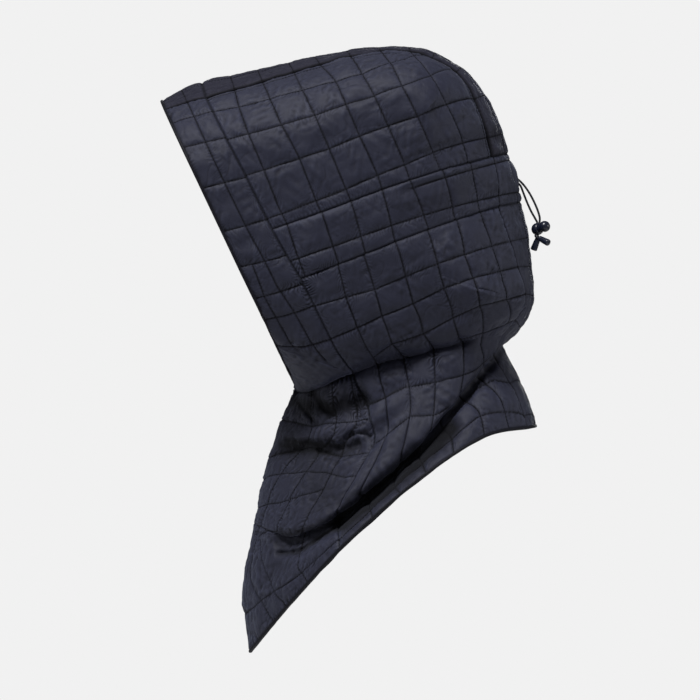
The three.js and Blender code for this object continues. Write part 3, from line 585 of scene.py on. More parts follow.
# %% Rings of the neck, fold and cape, from the middle of the back to the middle of the front
NECK_RING = np.array([
    [0, 106, -289], [47, 99, -291], [78, 68, -312], [91, 20, -343],
    [92, -29, -379], [62, -92, -400], [0, -130, -398],
])
FOLD_RING = np.array([
    [0, 103, -291.5], [47, 94, -301], [81, 62, -337], [106, 15, -389],
    [112, -62, -453], [78, -108, -477], [0, -146, -468],
])
CAPE_RING = np.array([
    [0, 123, -332], [51, 114, -334], [90, 76, -358], [117, 14, -409],
    [122, -62, -478], [86, -113, -520], [0, -157, -536],
])
HEM_RING = np.array([
    [0, 137, -373], [53, 129, -374], [101, 84, -382], [131, 12, -428],
    [133, -61, -493], [92, -108, -546], [0, -151, -599],
])
BIB_STATION, FRONT_STATION = 4, 6
LIFT = np.array([[-3], [-3], [12], [22], [16], [2], [-9]])  # how far up the cloth goes behind the fold
LAP_ROLL, LAP_GAP = 7, 3  # its roll and gap where it laps
DENT_ROLL, DENT_GAP = 0.2, 0.1  # and where it doesn't

# %% [markdown]
# The half width is asked for at a few hundred thousand points, so the distance to the ridge is found for
# whole blocks of points against all the ridge's short straight pieces at once.

# %% The hood's half width
BLOCK = 20000  # points at a time
RIDGE_FINE = track(RIDGE, np.linspace(0, CREASE_ROW, 10 * CREASE_ROW + 1))
FACE_UP = (BRIM - CHIN) / np.linalg.norm(BRIM - CHIN)


def share_of_depth(side):
    """Distance from side-view points to the ridge, as a share of the ridge's depth at the nearest place."""
    a, step = RIDGE_FINE[:-1, :2], np.diff(RIDGE_FINE[:, :2], axis=0)
    out = np.empty(len(side))
    for start in range(0, len(side), BLOCK):
        block = side[start : start + BLOCK]
        rel = block[:, None] - a
        along = np.clip((rel * step).sum(-1) / (step * step).sum(-1), 0, 1)
        distance = np.linalg.norm(rel - along[..., None] * step, axis=-1)
        best = distance.argmin(axis=1)
        row = np.arange(len(block))
        depth = mix(RIDGE_FINE[best, 4], RIDGE_FINE[best + 1, 4], along[row, best])
        out[start : start + BLOCK] = distance[row, best] / depth
    return out


def hood_half_width(side):
    """Full width at that height, times the quarter ellipse from the ridge, times the chin's and the
    crease's shares."""
    shape, side = side.shape[:-1], side.reshape(-1, 2)
    y, z = side[:, 0], side[:, 1]
    height = (CHIN[0] - y) * np.sin(ROW_TILT) + (z - CHIN[1]) * np.cos(ROW_TILT)
    up = np.maximum((y - CHIN[0]) * FACE_UP[0] + (z - CHIN[1]) * FACE_UP[1], 0)
    back = np.maximum((y - CHIN[0]) * FACE_UP[1] - (z - CHIN[1]) * FACE_UP[0], 0)
    at_edge = np.sqrt(1 - (1 - np.clip(up / CHIN_ROUND, 0, 1)) ** CHIN_POWER)
    chin = mix(at_edge, 1, quarter_ellipse(back / CHIN_DEPTH))
    above = z - look_up(CREASE, 1, y)
    tuck = 1 - look_up(CREASE, 2, y) * (1 - quarter_ellipse(above / CREASE_REACH))
    width = look_up(HALF_WIDTH, 1, height) * quarter_ellipse(share_of_depth(side)) * chin * tuck
    return width.reshape(shape)


def on_hood(side):
    return np.concatenate([hood_half_width(side)[..., None], side], axis=-1)


def strip_point(row, across):
    """Ellipse over the ridge between the crown panel's two seams: x = seam x * sin(turn) / sin(widest)."""
    at = track(RIDGE, row)
    ridge, seam, depth = at[..., :2], at[..., 2:4], at[..., 4]
    sag = np.linalg.norm(seam - ridge, axis=-1)
    widest = np.arccos(1 - sag / depth)
    turn = widest * across
    sink = ((1 - np.cos(turn)) / (1 - np.cos(widest)))[..., None]
    x = hood_half_width(seam) * np.sin(turn) / np.sin(widest)
    return np.concatenate([x[..., None], mix(ridge, seam, sink)], axis=-1)


# %% [markdown]
# ## The panels
# Each panel is a surface of two parameters. Those of the hood are Coons patches drawn in the side view
# between their four seams, and then lifted to the hood's width. Those below the neck crease follow rings
# round the neck, joined by a profile that doubles back on itself to make the fold of the cowl.


# %% Patches of the hood
def coons(top, bottom, back, front, s, t):
    """Blend of four edges: across, plus down, minus the corners that both of those count."""
    wide, tall = s[..., None], t[..., None]
    across = mix(top(s), bottom(s), tall)
    down = mix(back(t), front(t), wide)
    straight = lambda edge: mix(edge(np.zeros_like(s)), edge(np.ones_like(s)), wide)
    return across + down - mix(straight(top), straight(bottom), tall)


def seam_at(row):
    return track(RIDGE, row)[..., 2:4]


def casing_top(s):
    return track(CASING_TOP, 4 * s)


def casing_bottom(s):
    return track(CASING_BOTTOM, 4 * s)


def crown_end(s):
    return seam_at(mix(CROWN_CORNER_ROW, BAND_SEAM_ROW, s))


def crease_side(s):
    return track(CREASE_SIDE, (BIB_STATION - 1) * s)


def side_patch(top, bottom, ridge_rows, band_rows):
    """Patch between two lines across, from the crown panel's seam at the back to the band's in front."""
    back = lambda t: seam_at(mix(*ridge_rows, t))
    front = lambda t: track(BAND_SEAM, mix(*band_rows, t))
    return lambda s, t: on_hood(coons(top, bottom, back, front, s, t))


side_upper = side_patch(crown_end, casing_top, (CROWN_CORNER_ROW, CASING_TOP_ROW), (0, BAND_AT_CASING_TOP))
casing_side = side_patch(
    casing_top, casing_bottom, (CASING_TOP_ROW, CASING_BOTTOM_ROW), (BAND_AT_CASING_TOP, BAND_AT_CASING_BOTTOM)
)
side_lower = side_patch(
    casing_bottom, crease_side, (CASING_BOTTOM_ROW, CREASE_ROW), (BAND_AT_CASING_BOTTOM, BAND_AT_CREASE)
)


def casing(u, t):
    """The middle of the back is |u| under 1, and the sides run on from there to |u| = 2 at the band."""
    side = casing_side(np.clip(np.abs(u) - 1, 0, 1), t)
    side[..., 0] *= np.sign(u)
    middle = strip_point(mix(CASING_TOP_ROW, CASING_BOTTOM_ROW, t), np.clip(u, -1, 1))
    return np.where(np.abs(u)[..., None] < 1, middle, side)


def face_edge(up):
    return CHIN + up[..., None] * FACE_UP


def face_band(u, v):
    """Straight across from the seam (u = 0) to the face edge (u = 1), with v the row of BAND_SEAM. Past
    row 9 the band narrows round the chin to its middle, at row 10."""
    row = np.minimum(v, BAND_AT_CREASE)
    edge = lambda at: face_edge(track(FACE_EDGE_UP[:, None], at)[..., 0])
    straight = lambda at: mix(track(BAND_SEAM, at), edge(at), u[..., None])
    top = seam_at(mix(BAND_SEAM_ROW, 0, u))
    pull = smooth_step(1 - row / 3)[..., None]
    full = on_hood(straight(row) + pull * (top - straight(np.zeros_like(row))))
    round_ = np.clip(v - BAND_AT_CREASE, 0, 1)

    def chin_line(at):
        low = on_hood(track(CREASE_SIDE, mix(BIB_STATION - 1, FRONT_STATION - 1, at)))
        high = on_hood(face_edge(FACE_EDGE_UP[-1] * (1 - at) ** 2))
        return mix(low, high, u[..., None])

    bulge = full - chin_line(np.zeros_like(round_))
    chin = chin_line(round_) + bulge * ((1 - round_) ** 2)[..., None]
    return np.where(v[..., None] <= BAND_AT_CREASE, full, chin)


# %% [markdown]
# Below the crease every panel uses the same profile: crease, neck, out to the edge of the fold, back up
# behind it, down again, and out over the shoulders to the hem.

# %% The neck, the fold and the cape
BIB_DENTS = np.array([[0.5, 0.16, 5], [1, 0.18, 6]])  # ring, width, depth
DENT_FADE = 1.1  # stations over which they fade
FLIP_X = np.array([-1, 1, 1])


def ring_at(rows, station):
    """Ring through its table, mirrored past the middle of the back and of the front."""
    rows = np.concatenate([rows[1:2] * FLIP_X, rows, rows[-2:-1] * FLIP_X]).astype(float)
    return centripetal(rows, station + 1)


def crease_ring(station):
    near = strip_point(np.full_like(station, CREASE_ROW), np.minimum(station, 1))
    far = on_hood(track(CREASE_SIDE, np.maximum(station - 1, 0)))
    return np.where(station[:, None] <= 1, near, far)


def lower_profile(station, ring):
    """Grid [ring, station] of points from the crease (ring 0) to the hem (ring 10)."""
    fold, neck, cape = (ring_at(rows, station) for rows in (FOLD_RING, NECK_RING, CAPE_RING))
    step = 0.02
    along = ring_at(FOLD_RING, np.minimum(station + step, FRONT_STATION))
    along = along - ring_at(FOLD_RING, np.maximum(station - step, 0))
    lift = track(LIFT, station)
    lapped = smooth_step((lift + 3) / 3.5)
    down = unit(mix(unit(cape - fold), unit(fold - neck), lapped))
    out = unit(np.cross(along, down))
    roll, gap = mix(DENT_ROLL, LAP_ROLL, lapped), mix(DENT_GAP, LAP_GAP, lapped)
    at = lambda outward, downward: fold + out * outward + down * downward
    points = np.stack([
        crease_ring(station),
        neck,
        fold,
        at(-roll / 2, mix(1, roll / 2, lapped)),
        at(-roll, mix(2, 0, lapped)),
        at(-roll - gap / 6, -lift),
        at(-roll - gap / 2, -lift + mix(1, -1.2, lapped)),
        at(-roll - gap, -lift + mix(2, 0, lapped)),
        at(-roll - gap - 0.5, np.maximum(-lift, 0) + 5),
        cape,
        ring_at(HEM_RING, station),
    ], axis=-2)
    grid = np.moveaxis(centripetal(points, ring), 1, 0)
    fade = smooth_step((station - BIB_STATION + DENT_FADE) / DENT_FADE)
    fade = fade * smooth_step((FRONT_STATION - station) / 0.9)
    dents = (BIB_DENTS[:, 2] * np.exp(-(((ring[:, None] - BIB_DENTS[:, 0]) / BIB_DENTS[:, 1]) ** 2))).sum(-1)
    return grid - out * (dents[:, None] * fade)[..., None]


# %% [markdown]
# ## Grids
# A panel's face is a grid whose rows and columns are spaced by length along the cloth, so that the relief is
# equally fine everywhere. The numbers of steps are even, because the lining behind it has half as many.


# %% Even spacing
def hood_patch(patch):
    """A surface given by single points, asked for as a grid [b, a]."""
    return lambda a, b: patch(*np.meshgrid(a, b))


def with_neck(hood_part):
    """A panel that runs from the hood (b from -1 to 0) over the crease to the hem (b from 0 to 10)."""

    def make(a, b):
        above = b < 0
        parts = []
        if above.any():
            parts.append(hood_part(a, b[above] + 1))
        if (~above).any():
            below = lower_profile(np.abs(a), b[~above])
            below[..., 0] *= np.where(a < 0, -1, 1)
            parts.append(below)
        return np.concatenate(parts)

    return make


def lower_side_hood(a, t):
    return side_lower(*np.meshgrid((a - 1) / (BIB_STATION - 1), t))


def back_hood(a, t):
    across, t = np.meshgrid(a, t)
    return strip_point(mix(CASING_BOTTOM_ROW, CREASE_ROW, t), across)


MIDDLE_WIDTH, MIDDLE_SPREAD = 0.4, 0.18  # stations rounded at the bib's middle, and those in the mean
MIDDLE_TOP, MIDDLE_BOTTOM = 0.15, 1.5  # rings over which that sets in at the band and ends at the hem


def both_halves(a, b):
    """The left half at stations 4 to 6, and its mirror image at 6 to 8."""
    grid = lower_profile(FRONT_STATION - np.abs(a - FRONT_STATION), b)
    grid[..., 0] *= np.where(a > FRONT_STATION, -1, 1)
    return grid


def bib_surface(a, b):
    """Both halves, and near the middle the mean over nearby stations, which rounds the line where they meet.
    What the mean takes off the middle line is put back softly. At the seam with the band and at the hem the
    two stay as they are."""
    near = np.exp(-(((a - FRONT_STATION) / MIDDLE_WIDTH) ** 2))
    rounded, middle = 0, 0
    for shift in np.linspace(-MIDDLE_SPREAD, MIDDLE_SPREAD, 7):
        rounded = rounded + both_halves(a + shift * near, b) / 7
        middle = middle + both_halves(np.array([FRONT_STATION + shift]), b) / 7
    lost = both_halves(np.array([FRONT_STATION]), b) - middle
    rounded = rounded + lost * near[:, None]
    share = smooth_step(b / MIDDLE_TOP) * smooth_step((9 - b) / MIDDLE_BOTTOM)
    return mix(both_halves(a, b), rounded, share[:, None, None])


def even_steps(make, a_ends, b_ends):
    """Values of a and b at equal lengths on the cloth, the length being the mean over the other one."""
    a, b = np.linspace(*a_ends, 121), np.linspace(*b_ends, 241)
    rough = make(a, b)
    out = []
    for values, length in ((a, lengths(rough, 1).mean(axis=0)), (b, lengths(rough, 0).mean(axis=1))):
        steps = 2 * int(np.ceil(length[-1] / FINE / 2))
        out.append(np.interp(np.linspace(0, length[-1], steps + 1), length, values))
    return out


# %% [markdown]
# ## Noise
# Cloth is never regular. A sum of plane waves with random directions and one wave length is a smooth random
# field, cheap to compute at any point, and the same for the panels that meet at a seam because it depends on
# the place alone.


# %% A random field of one wave length
def ripple(points, wave, seed, count=18):
    """Sum of cosines of (k . p + phase), each k of length 2 pi / wave within a fifth, scaled to spread 1."""
    rng = np.random.default_rng(seed)
    k = rng.normal(size=(3, count))
    k *= 2 * np.pi / wave * rng.uniform(0.8, 1.2, count) / np.linalg.norm(k, axis=0)
    phase = rng.uniform(0, 2 * np.pi, count)
    return np.cos(points @ k + phase).sum(axis=-1) * np.sqrt(2 / count)


# %% [markdown]
# ## Where the stitch lines run
# Each line is a row of places (a, b) on its panel, as read off the photograph. Lines across give b as a
# function of a, and lines down give a as a function of b. The panels in the middle list their left half alone.

# %% Stitch lines of each panel
ACROSS = {
    "side_upper": [
        [(0, 0.022), (1, 0.022)],
        [(0, -0.12), (0.2, 0), (0.395, 0.1), (0.5, 0.15), (0.58, 0.157), (0.78, 0.144), (1, 0.12)],
        [(0, 0), (0.225, 0.2), (0.37, 0.275), (0.5, 0.322), (0.68, 0.342), (1, 0.338)],
        [(0, 0.29), (0.175, 0.406), (0.335, 0.494), (0.455, 0.531), (0.67, 0.581), (1, 0.606)],
        [(0, 0.66), (0.15, 0.738), (0.27, 0.785), (0.405, 0.844), (0.655, 0.892), (1, 0.913)],
    ],
    "drawcord_casing": [
        [(0, 0.17), (1, 0.165), (1.4, 0.155)],
        [(0, 0.82), (1, 0.8), (1.345, 0.717), (1.67, 0.667), (2, 0.63)],
    ],
    "side_lower": [
        [(1, -0.783), (1.32, -0.783), (2.23, -0.758), (2.71, -0.733), (3.16, -0.708), (4, -0.72)],
        [(1, -0.617), (1.83, -0.6), (2.31, -0.575), (2.8, -0.517), (3.25, -0.475), (3.6, -0.425),
         (4, -0.38)],
        [(1, -0.425), (1.38, -0.392), (1.9, -0.367), (2.35, -0.3), (2.82, -0.208), (3.28, -0.183),
         (3.6, -0.08)],
        [(1, -0.17), (1.15, -0.15), (1.68, -0.05), (2.25, -0.033)],
        [(1, 1.6), (1.75, 1.43), (2.5, 0.95), (3.3, 0.55), (4, 0.5)],
        [(2.35, 1.95), (2.8, 1.5), (3.19, 1.2), (4, 1.1)],
        [(1, 8.8), (1.17, 8.65), (1.64, 8.45), (2.4, 8.5), (3.2, 8.6), (4, 8.6)],
        [(1, 9.68), (1.58, 9.4), (2.02, 9.15), (3, 9.3), (4, 9.35)],
    ],
    "back_panel": [[(0, middle), (1, side)] for middle, side in (
        (-0.79, -0.783), (-0.62, -0.617), (-0.43, -0.425), (-0.18, -0.17), (8.85, 8.8), (9.7, 9.68))],
    "bib": [
        [(4.03, 0.73), (4.25, 0.67), (4.51, 0.59), (4.78, 0.53), (5.12, 0.525), (5.51, 0.48), (6, 0.46)],
        [(4.05, 1.19), (4.49, 1.09), (4.73, 1), (4.86, 0.92), (5.05, 0.875), (5.26, 0.9), (5.62, 0.99),
         (6, 1.1)],
        [(4, 1.48), (4.23, 1.42), (4.63, 1.26), (5.03, 1.18), (5.39, 1.21), (5.76, 1.29), (6, 1.35)],
        [(4.55, 1.455), (4.98, 1.46), (5.25, 1.5), (5.53, 1.56), (5.77, 1.64), (6, 1.7)],
        [(4, 9.287), (4.95, 9.287), (5.2, 9.24), (5.45, 9.287), (5.65, 9.35), (6, 9.4)],
    ],
    "crown_panel": [[(0, row - 0.04), (1, row)] for row in (
        1.81, 2.38, 2.92, 3.37, 3.91, 4.51, 5.26, 6.1, 7, 8.16, 9.64)],
    "face_band_top": [[(0, 0.5), (1, 0.55)]],
    "face_band": [
        [(0, 0.35), (1, 0.3)],
        [(0, 0.97), (1, 0.875)],
        [(0, 1.85), (1, 1.825)],
        [(0, 2.75), (1, 2.775)],
        [(0, 4), (0.16, 4.075), (1, 4.23)],
        [(0, 5.2), (0.09, 5.25), (0.84, 5.775), (1, 5.9)],
        [(0, 6.1), (0.81, 6.9), (1, 7.1)],
        [(0, 7.5), (0.13, 7.65), (0.79, 8.65), (1, 9)],
    ],
}
DOWN = {
    "side_upper": [
        [(0.865, 0), (0.885, 0.131), (0.905, 0.331), (0.92, 0.606), (0.935, 0.869), (0.935, 1)],
        [(0.77, 0), (0.775, 0.14), (0.78, 0.32), (0.775, 0.58), (0.785, 0.875), (0.79, 1)],
        [(0.68, 0), (0.68, 0.16), (0.675, 0.344), (0.67, 0.581), (0.66, 0.906), (0.655, 1)],
        [(0.605, 0), (0.582, 0.156), (0.575, 0.331), (0.56, 0.556), (0.525, 0.869), (0.515, 1)],
        [(0.515, 0), (0.5, 0.15), (0.48, 0.319), (0.455, 0.531), (0.415, 0.806), (0.39, 1)],
        [(0.415, 0), (0.395, 0.106), (0.375, 0.281), (0.335, 0.5), (0.285, 0.769), (0.25, 1)],
        [(0.29, 0), (0.26, 0.1), (0.22, 0.2), (0.175, 0.406), (0.14, 0.663), (0.12, 1)],
        [(0.02, 0), (0.018, 1)],
    ],
    "drawcord_casing": [[(top, 0), (bottom, 1)] for top, bottom in (
        (1.935, 1.975), (1.785, 1.805), (1.655, 1.675), (1.515, 1.535), (1.39, 1.37), (1.24, 1.235),
        (1.11, 1.105),
        (0.97, 0.97), (0.34, 0.34))],
    "side_lower": [
        [(3.42, -1), (3.445, -0.967), (3.55, -0.717), (3.6, -0.425), (3.6, 0), (3.7, 0.883), (3.7, 2),
         (3.58, 9.083),
         (3.53, 10)],
        [(3.05, -1), (3.07, -0.95), (3.16, -0.708), (3.25, -0.475), (3.28, -0.183), (3.23, 0), (3.21, 1.267),
         (3.2, 2), (3.27, 9.233), (3.16, 10)],
        [(2.6, -1), (2.62, -0.933), (2.71, -0.733), (2.8, -0.517), (2.82, -0.208), (2.74, -0.025),
         (2.69, 1.767),
         (2.94, 8.8), (2.82, 10)],
        [(2.13, -1), (2.14, -0.95), (2.23, -0.758), (2.31, -0.575), (2.35, -0.3), (2.25, -0.033), (2.18, 0),
         (2.05, 2), (2.48, 8.7), (2.45, 10)],
        [(1.68, -1), (1.69, -0.967), (1.8, -0.758), (1.83, -0.6), (1.9, -0.367), (1.7, -0.033),
         (1.72, 0.333),
         (1.4, 1.933), (1.95, 8.483), (2, 10)],
        [(1.3, -1), (1.32, -0.783), (1.35, -0.6), (1.38, -0.392), (1.15, -0.15)],
        [(1.44, 8.3), (1.45, 8.617), (1.51, 9.7), (1.52, 10)],
    ],
    "back_panel": [[(0.34, -1), (0.34, 10)]],
    "bib": [
        [(5.17, 0), (5.1, 0.3), (5.12, 0.49), (5.07, 0.64), (5.07, 0.775), (5.26, 0.91), (5.38, 1.075),
         (5.45, 1.2),
         (5.51, 1.34), (5.57, 1.47), (5.66, 1.86), (5.79, 7.3), (5.76, 8.675), (5.45, 9.325), (5.32, 10)],
        [(4.5, 0), (4.54, 0.26), (4.575, 0.42), (4.59, 0.76), (4.69, 0.86), (4.88, 0.94), (4.97, 1.08),
         (5.07, 1.31),
         (5.15, 1.44), (5.27, 1.775), (5.5, 4), (5.68, 8.05), (5.52, 8.49), (5.3, 8.94), (5.13, 9.72),
         (5.1, 10)],
        [(4.06, 0), (4.08, 0.14), (4.15, 0.35), (4.21, 0.54), (4.24, 0.74), (4.36, 0.84), (4.48, 0.94),
         (4.51, 1.19),
         (4.55, 1.44), (4.61, 1.59), (4.76, 1.93), (4.81, 3.2), (4.9, 8), (4.83, 8.52), (4.68, 9.425),
         (4.63, 10)],
    ],
    "crown_panel": [[(0.34, 1), (0.34, 11)]],
    "face_band_top": [[(0.34, 0), (0.34, 1)]],
    "face_band": [
        [(0.44, 0), (0.46, 0.975), (0.48, 1.825), (0.47, 2.725), (0.45, 3.7), (0.47, 5.25), (0.4, 6.325),
         (0.36, 7.825), (0.32, 8.75)],
        [(0.71, 4.2), (0.78, 5.825), (0.75, 6.925), (0.72, 8.4), (0.7, 8.6)],
    ],
}

# %% [markdown]
# ## The relief
# Around a stitch line the cloth rises steeply, then swells slowly towards the middle of the cell. Beside the
# line it is gathered into short puckers square to it, and the open cloth between is crumpled. The distance to
# a line is its difference in parameters divided by how fast that difference changes along the cloth, which
# holds near the line, where it matters.

# %% Heights of the relief, in millimetres
STITCH_DEPTH = 1.7  # from the frame's surface down to a stitch line
PUFF = 2.6  # from a stitch line up to the middle of a large cell
PUCKER_PITCH, PUCKER_HEIGHT = 3.8, 0.24
WAVES = ((0.35, 34, 7), (0.2, 17, 8))  # height, wave length and seed of the slow waves that all panels share
LINING_DEPTH, LINING_PUFF = 2.3, 0.8
SEAM_TUCK, TUCK_REACH = 0.8, 2.5  # how much deeper the lining lies at a seam, and how far from it


def loft(distance, soft=0.75, full=16, steep=0.45):
    """steep (1 - exp(-d / soft)) + (1 - steep) (1 - (1 - d / full)^2.5): the share of the full height."""
    slow = 1 - (1 - np.minimum(distance / full, 1)) ** 2.5
    return steep * (1 - np.exp(-distance / soft)) + (1 - steep) * slow


def slope_size(field, metric):
    """Size of the gradient of a field along the cloth, by the metric's E, F and G."""
    e, f, g = metric
    down, across = np.gradient(field)
    size = (g * across**2 - 2 * f * across * down + e * down**2) / (e * g - f * f)
    return np.sqrt(np.maximum(size, 1e-12))


def line_field(line, run, cross, metric, to_length=None):
    """Signed distance to a line that gives cross as a function of run, and how far past its ends a point is.
    Where cross runs unevenly along the cloth, to_length first turns it into millimetres from the edge."""
    line = np.array(line, float)
    order = np.argsort(line[:, 0])
    level = np.interp(run, line[order, 0], line[order, 1])
    gap = cross - level if to_length is None else to_length(cross) - to_length(level)
    past = np.maximum(line[:, 0].min() - run, run - line[:, 0].max())
    beyond = np.where(past > 1e-6, past / slope_size(run, metric), 0)
    return gap / slope_size(gap, metric), beyond


GATHERS = np.array([
    # y, z and reach of the places where the cloth is gathered most
    [3, -311, 16], [33, -303, 14], [60, -291, 14], [-88, -226, 24],
    [-48, -346, 18], [-68, -350, 12], [-32, -385, 12],
])


GATHERED_MORE = 1.7


def gathered(points):
    """1, and more by GATHERED_MORE at each place in the list."""
    distance = np.linalg.norm(points[..., None, 1:] - GATHERS[:, :2], axis=-1)
    return 1 + GATHERED_MORE * np.exp(-((distance / GATHERS[:, 2]) ** 2)).sum(axis=-1)


def pucker(points, along, signed, seed):
    """Height h (d / r) exp(1 - d / r) sin(phase) at the distance d from a line: short folds square to it, none
    on the line and highest at the reach r. The phase is offset by half a pitch between the two sides. A slow
    random field makes them higher and longer in some places, and two more make them lean and wander."""
    zone = smooth_step(0.45 + 0.55 * ripple(points, 55, seed))
    lean = 0.9 * ripple(points, 40, seed + 1) * signed / PUCKER_PITCH
    wander = 3.2 * ripple(points, 15, seed + 2)
    phase = 2 * np.pi * (along / PUCKER_PITCH + lean + 0.25 * np.sign(signed)) + wander
    height = PUCKER_HEIGHT * (0.6 + 0.8 * zone) * gathered(points)
    reach = 1.05 + 0.9 * zone
    distance = np.abs(signed)
    return height * np.sin(phase) * distance / reach * np.exp(1 - distance / reach)


CRUMPLE_HEADINGS = np.radians([28, -38, 82])
CRUMPLES = ((0.15, 8), (0.06, 4.6))  # height and wave length


def crumpled(points, seed):
    """Small long folds along three headings of the side view, each strongest where its slow field is high."""
    total = 0
    for number, heading in enumerate(CRUMPLE_HEADINGS):
        way = np.array([0, np.cos(heading), np.sin(heading)])
        pressed = points - 0.72 * (points @ way)[..., None] * way
        folds = sum(h * ripple(pressed, wave, seed + 3 * k + number) for k, (h, wave) in enumerate(CRUMPLES))
        total = total + smooth_step(0.35 + 0.8 * ripple(points, 36, seed + 6 + number)) * folds
    return total


# %% [markdown]
# Larger folds follow paths drawn in the side view. Each pulls both faces of the cloth in along a soft
# trough, or pushes them out where its depth is negative.

# %% Folds of the side view
FOLDS = [
    # depth, width, path as y, z
    (3.4, 3.6, [(-104, -334), (-90, -338), (-75, -335), (-67, -328), (-55, -322), (-47, -319), (-35, -311),
                (-22, -309), (-5, -303), (25, -299), (32, -294), (50, -292), (62, -288), (72, -286),
                (80, -285)]),
    (3.6, 2.6, [(-107, -342), (-98, -351), (-91, -360), (-86, -367), (-82, -372)]),
    (3.8, 3.4, [(-90, -335), (-83, -343), (-76, -352), (-70, -358), (-66, -363)]),
    (3.4, 2.6, [(-118, -384), (-108, -386), (-95, -388), (-80, -389), (-65, -390), (-54, -391)]),
    (2.6, 2.2, [(-132, -403), (-122, -399), (-110, -399), (-102, -395), (-94, -396)]),
    (2.6, 2.2, [(-84, -394), (-75, -398), (-66, -400), (-56, -401)]),
    (2.4, 2.2, [(-76, -404), (-68, -406), (-60, -409)]),
    (3.2, 2.4, [(-57, -386), (-50, -380), (-42, -378), (-33, -380), (-27, -383)]),
    (8.0, 11.0, [(-114, -344), (-92, -351), (-66, -353), (-42, -348), (-28, -338)]),
    (6.0, 6.5, [(-126, -391), (-100, -393), (-75, -395), (-52, -394), (-34, -388)]),
    (4.0, 9.0, [(-62, -468), (-76, -476), (-92, -483), (-108, -488), (-128, -489)]),
    (2.0, 4.0, [(-60, -462), (-66, -467), (-76, -472), (-90, -476), (-105, -478), (-118, -478), (-126, -475)]),
    (5.6, 2.4, [(-52, -468), (-62, -472), (-74, -478), (-84, -485), (-94, -492), (-102, -496), (-110, -497.5),
                (-118, -498), (-126, -498)]),
    (-2.6, 3.4, [(-54, -476), (-64, -480), (-76, -487), (-87, -494), (-96, -501), (-106, -505), (-120, -507)]),
    (3.6, 24.0, [(-124, -368), (-95, -400), (-80, -430), (-66, -458)]),
    (2.4, 3.0, [(-102, -502), (-112, -507), (-124, -511), (-136, -514)]),
    (2.0, 3.0, [(-106, -510), (-118, -514), (-128, -520), (-138, -526)]),
    (11.0, 8.5, [(62, -362), (46, -378), (28, -396), (8, -413), (-12, -428), (-32, -444), (-48, -457),
                 (-58, -467), (-68, -477)]),
    (5.0, 4.5, [(112, -290), (98, -301), (87, -315), (73, -332), (58, -351), (44, -367)]),
    (8.0, 6.5, [(-68, -474), (-54, -462), (-40, -452), (-28, -442), (-8, -421), (8, -404), (22, -390)]),
]


def along_path(side, path):
    """Distance from side-view points to a path, and a factor that fades over its first and last tenth."""
    path = np.array(path, float)
    step = np.diff(path, axis=0)
    size = np.linalg.norm(step, axis=1)
    rel = side[..., None, :] - path[:-1]
    share = np.clip((rel * step).sum(-1) / size**2, 0, 1)
    distance = np.linalg.norm(rel - share[..., None] * step, axis=-1)
    best = distance.argmin(axis=-1)
    pick = lambda values: np.take_along_axis(values, best[..., None], axis=-1)[..., 0]
    run = pick((np.cumsum(size) - size) + share * size) / size.sum()
    return pick(distance), smooth_step(10 * run) * smooth_step(10 * (1 - run))


FOLD_MIDDLE = 30  # mm from the middle plane within which a fold fades to nothing


def fold_in(points):
    """Moves points straight in towards the middle plane, so that panels that meet move together. Also gives
    the depth of the folds at each point."""
    points, depths = points.copy(), np.zeros(points.shape[:-1])
    for depth, width, path in FOLDS:
        distance, fade = along_path(points[..., 1:], path)
        side = np.clip(points[..., 0] / FOLD_MIDDLE, -1, 1)
        trough = depth * fade * np.exp(-((distance / width) ** 2))
        points[..., 0] -= side * trough
        depths += trough
    return points, depths


# %% Normals of a grid
def normals_of(points):
    """Outward normals: (change with a) x (change with b), made unit."""
    down, across = np.gradient(points, axis=(0, 1))
    normal = np.cross(across, down)
    return normal / np.linalg.norm(normal, axis=-1, keepdims=True)


# %% [markdown]
# ## From a grid to a cushion
# The outer face carries the whole relief and the lining a shallow share of it, on every second row and
# column. A belt of triangles joins the two round the edge, two edges outside to one inside.


# %% A closed cushion from two grids
def grid_quads(rows, columns, start=0):
    """Corners of each cell in the order that makes the normal point outward."""
    index = start + np.arange(rows * columns).reshape(rows, columns)
    corners = [index[:-1, :-1], index[:-1, 1:], index[1:, 1:], index[1:, :-1]]
    return np.stack(corners, axis=-1).reshape(-1, 4)


def border(rows, columns, start=0):
    """Indices round the edge of a grid, in the direction in which its cells run along it."""
    index = start + np.arange(rows * columns).reshape(rows, columns)
    return np.concatenate([index[0, :-1], index[:-1, -1], index[-1, :0:-1], index[:0:-1, 0]])


def cushion_mesh(name, outer, inner, gather, material):
    rows, columns = outer.shape[:2]
    lining = inner[::2, ::2]
    first = rows * columns
    points = np.concatenate([outer.reshape(-1, 3), lining.reshape(-1, 3)])
    quads = np.concatenate([
        grid_quads(rows, columns),
        grid_quads(*lining.shape[:2], first)[:, ::-1],
    ])
    out, back = border(rows, columns), border(*lining.shape[:2], first)
    out_next, out_last, back_next = out[1::2], np.roll(out, -2)[::2], np.roll(back, -1)
    belt = np.concatenate([
        np.stack([out_next, out[::2], back], axis=-1),
        np.stack([out_next, back, back_next], axis=-1),
        np.stack([out_last, out_next, back_next], axis=-1),
    ])
    length = np.stack([lengths(outer, 1), lengths(outer, 0)], axis=-1)
    uv = np.concatenate([length.reshape(-1, 2), length[::2, ::2].reshape(-1, 2)]) * MM * 10
    gather = np.concatenate([gather.ravel(), gather[::2, ::2].ravel()])
    return mesh_object(name, points, [quads, belt], material, uv, gather)


# %% [markdown]
# The stitches themselves are short rounded threads laid along each line, with gaps between them where the
# thread dives into the cloth.

# %% Threads
STITCH_LENGTH, STITCH_PITCH, STITCH_THICK = 2.3, 3.2, 0.8
threads = []  # centre, direction and normal of each stitch, in rows of nine numbers


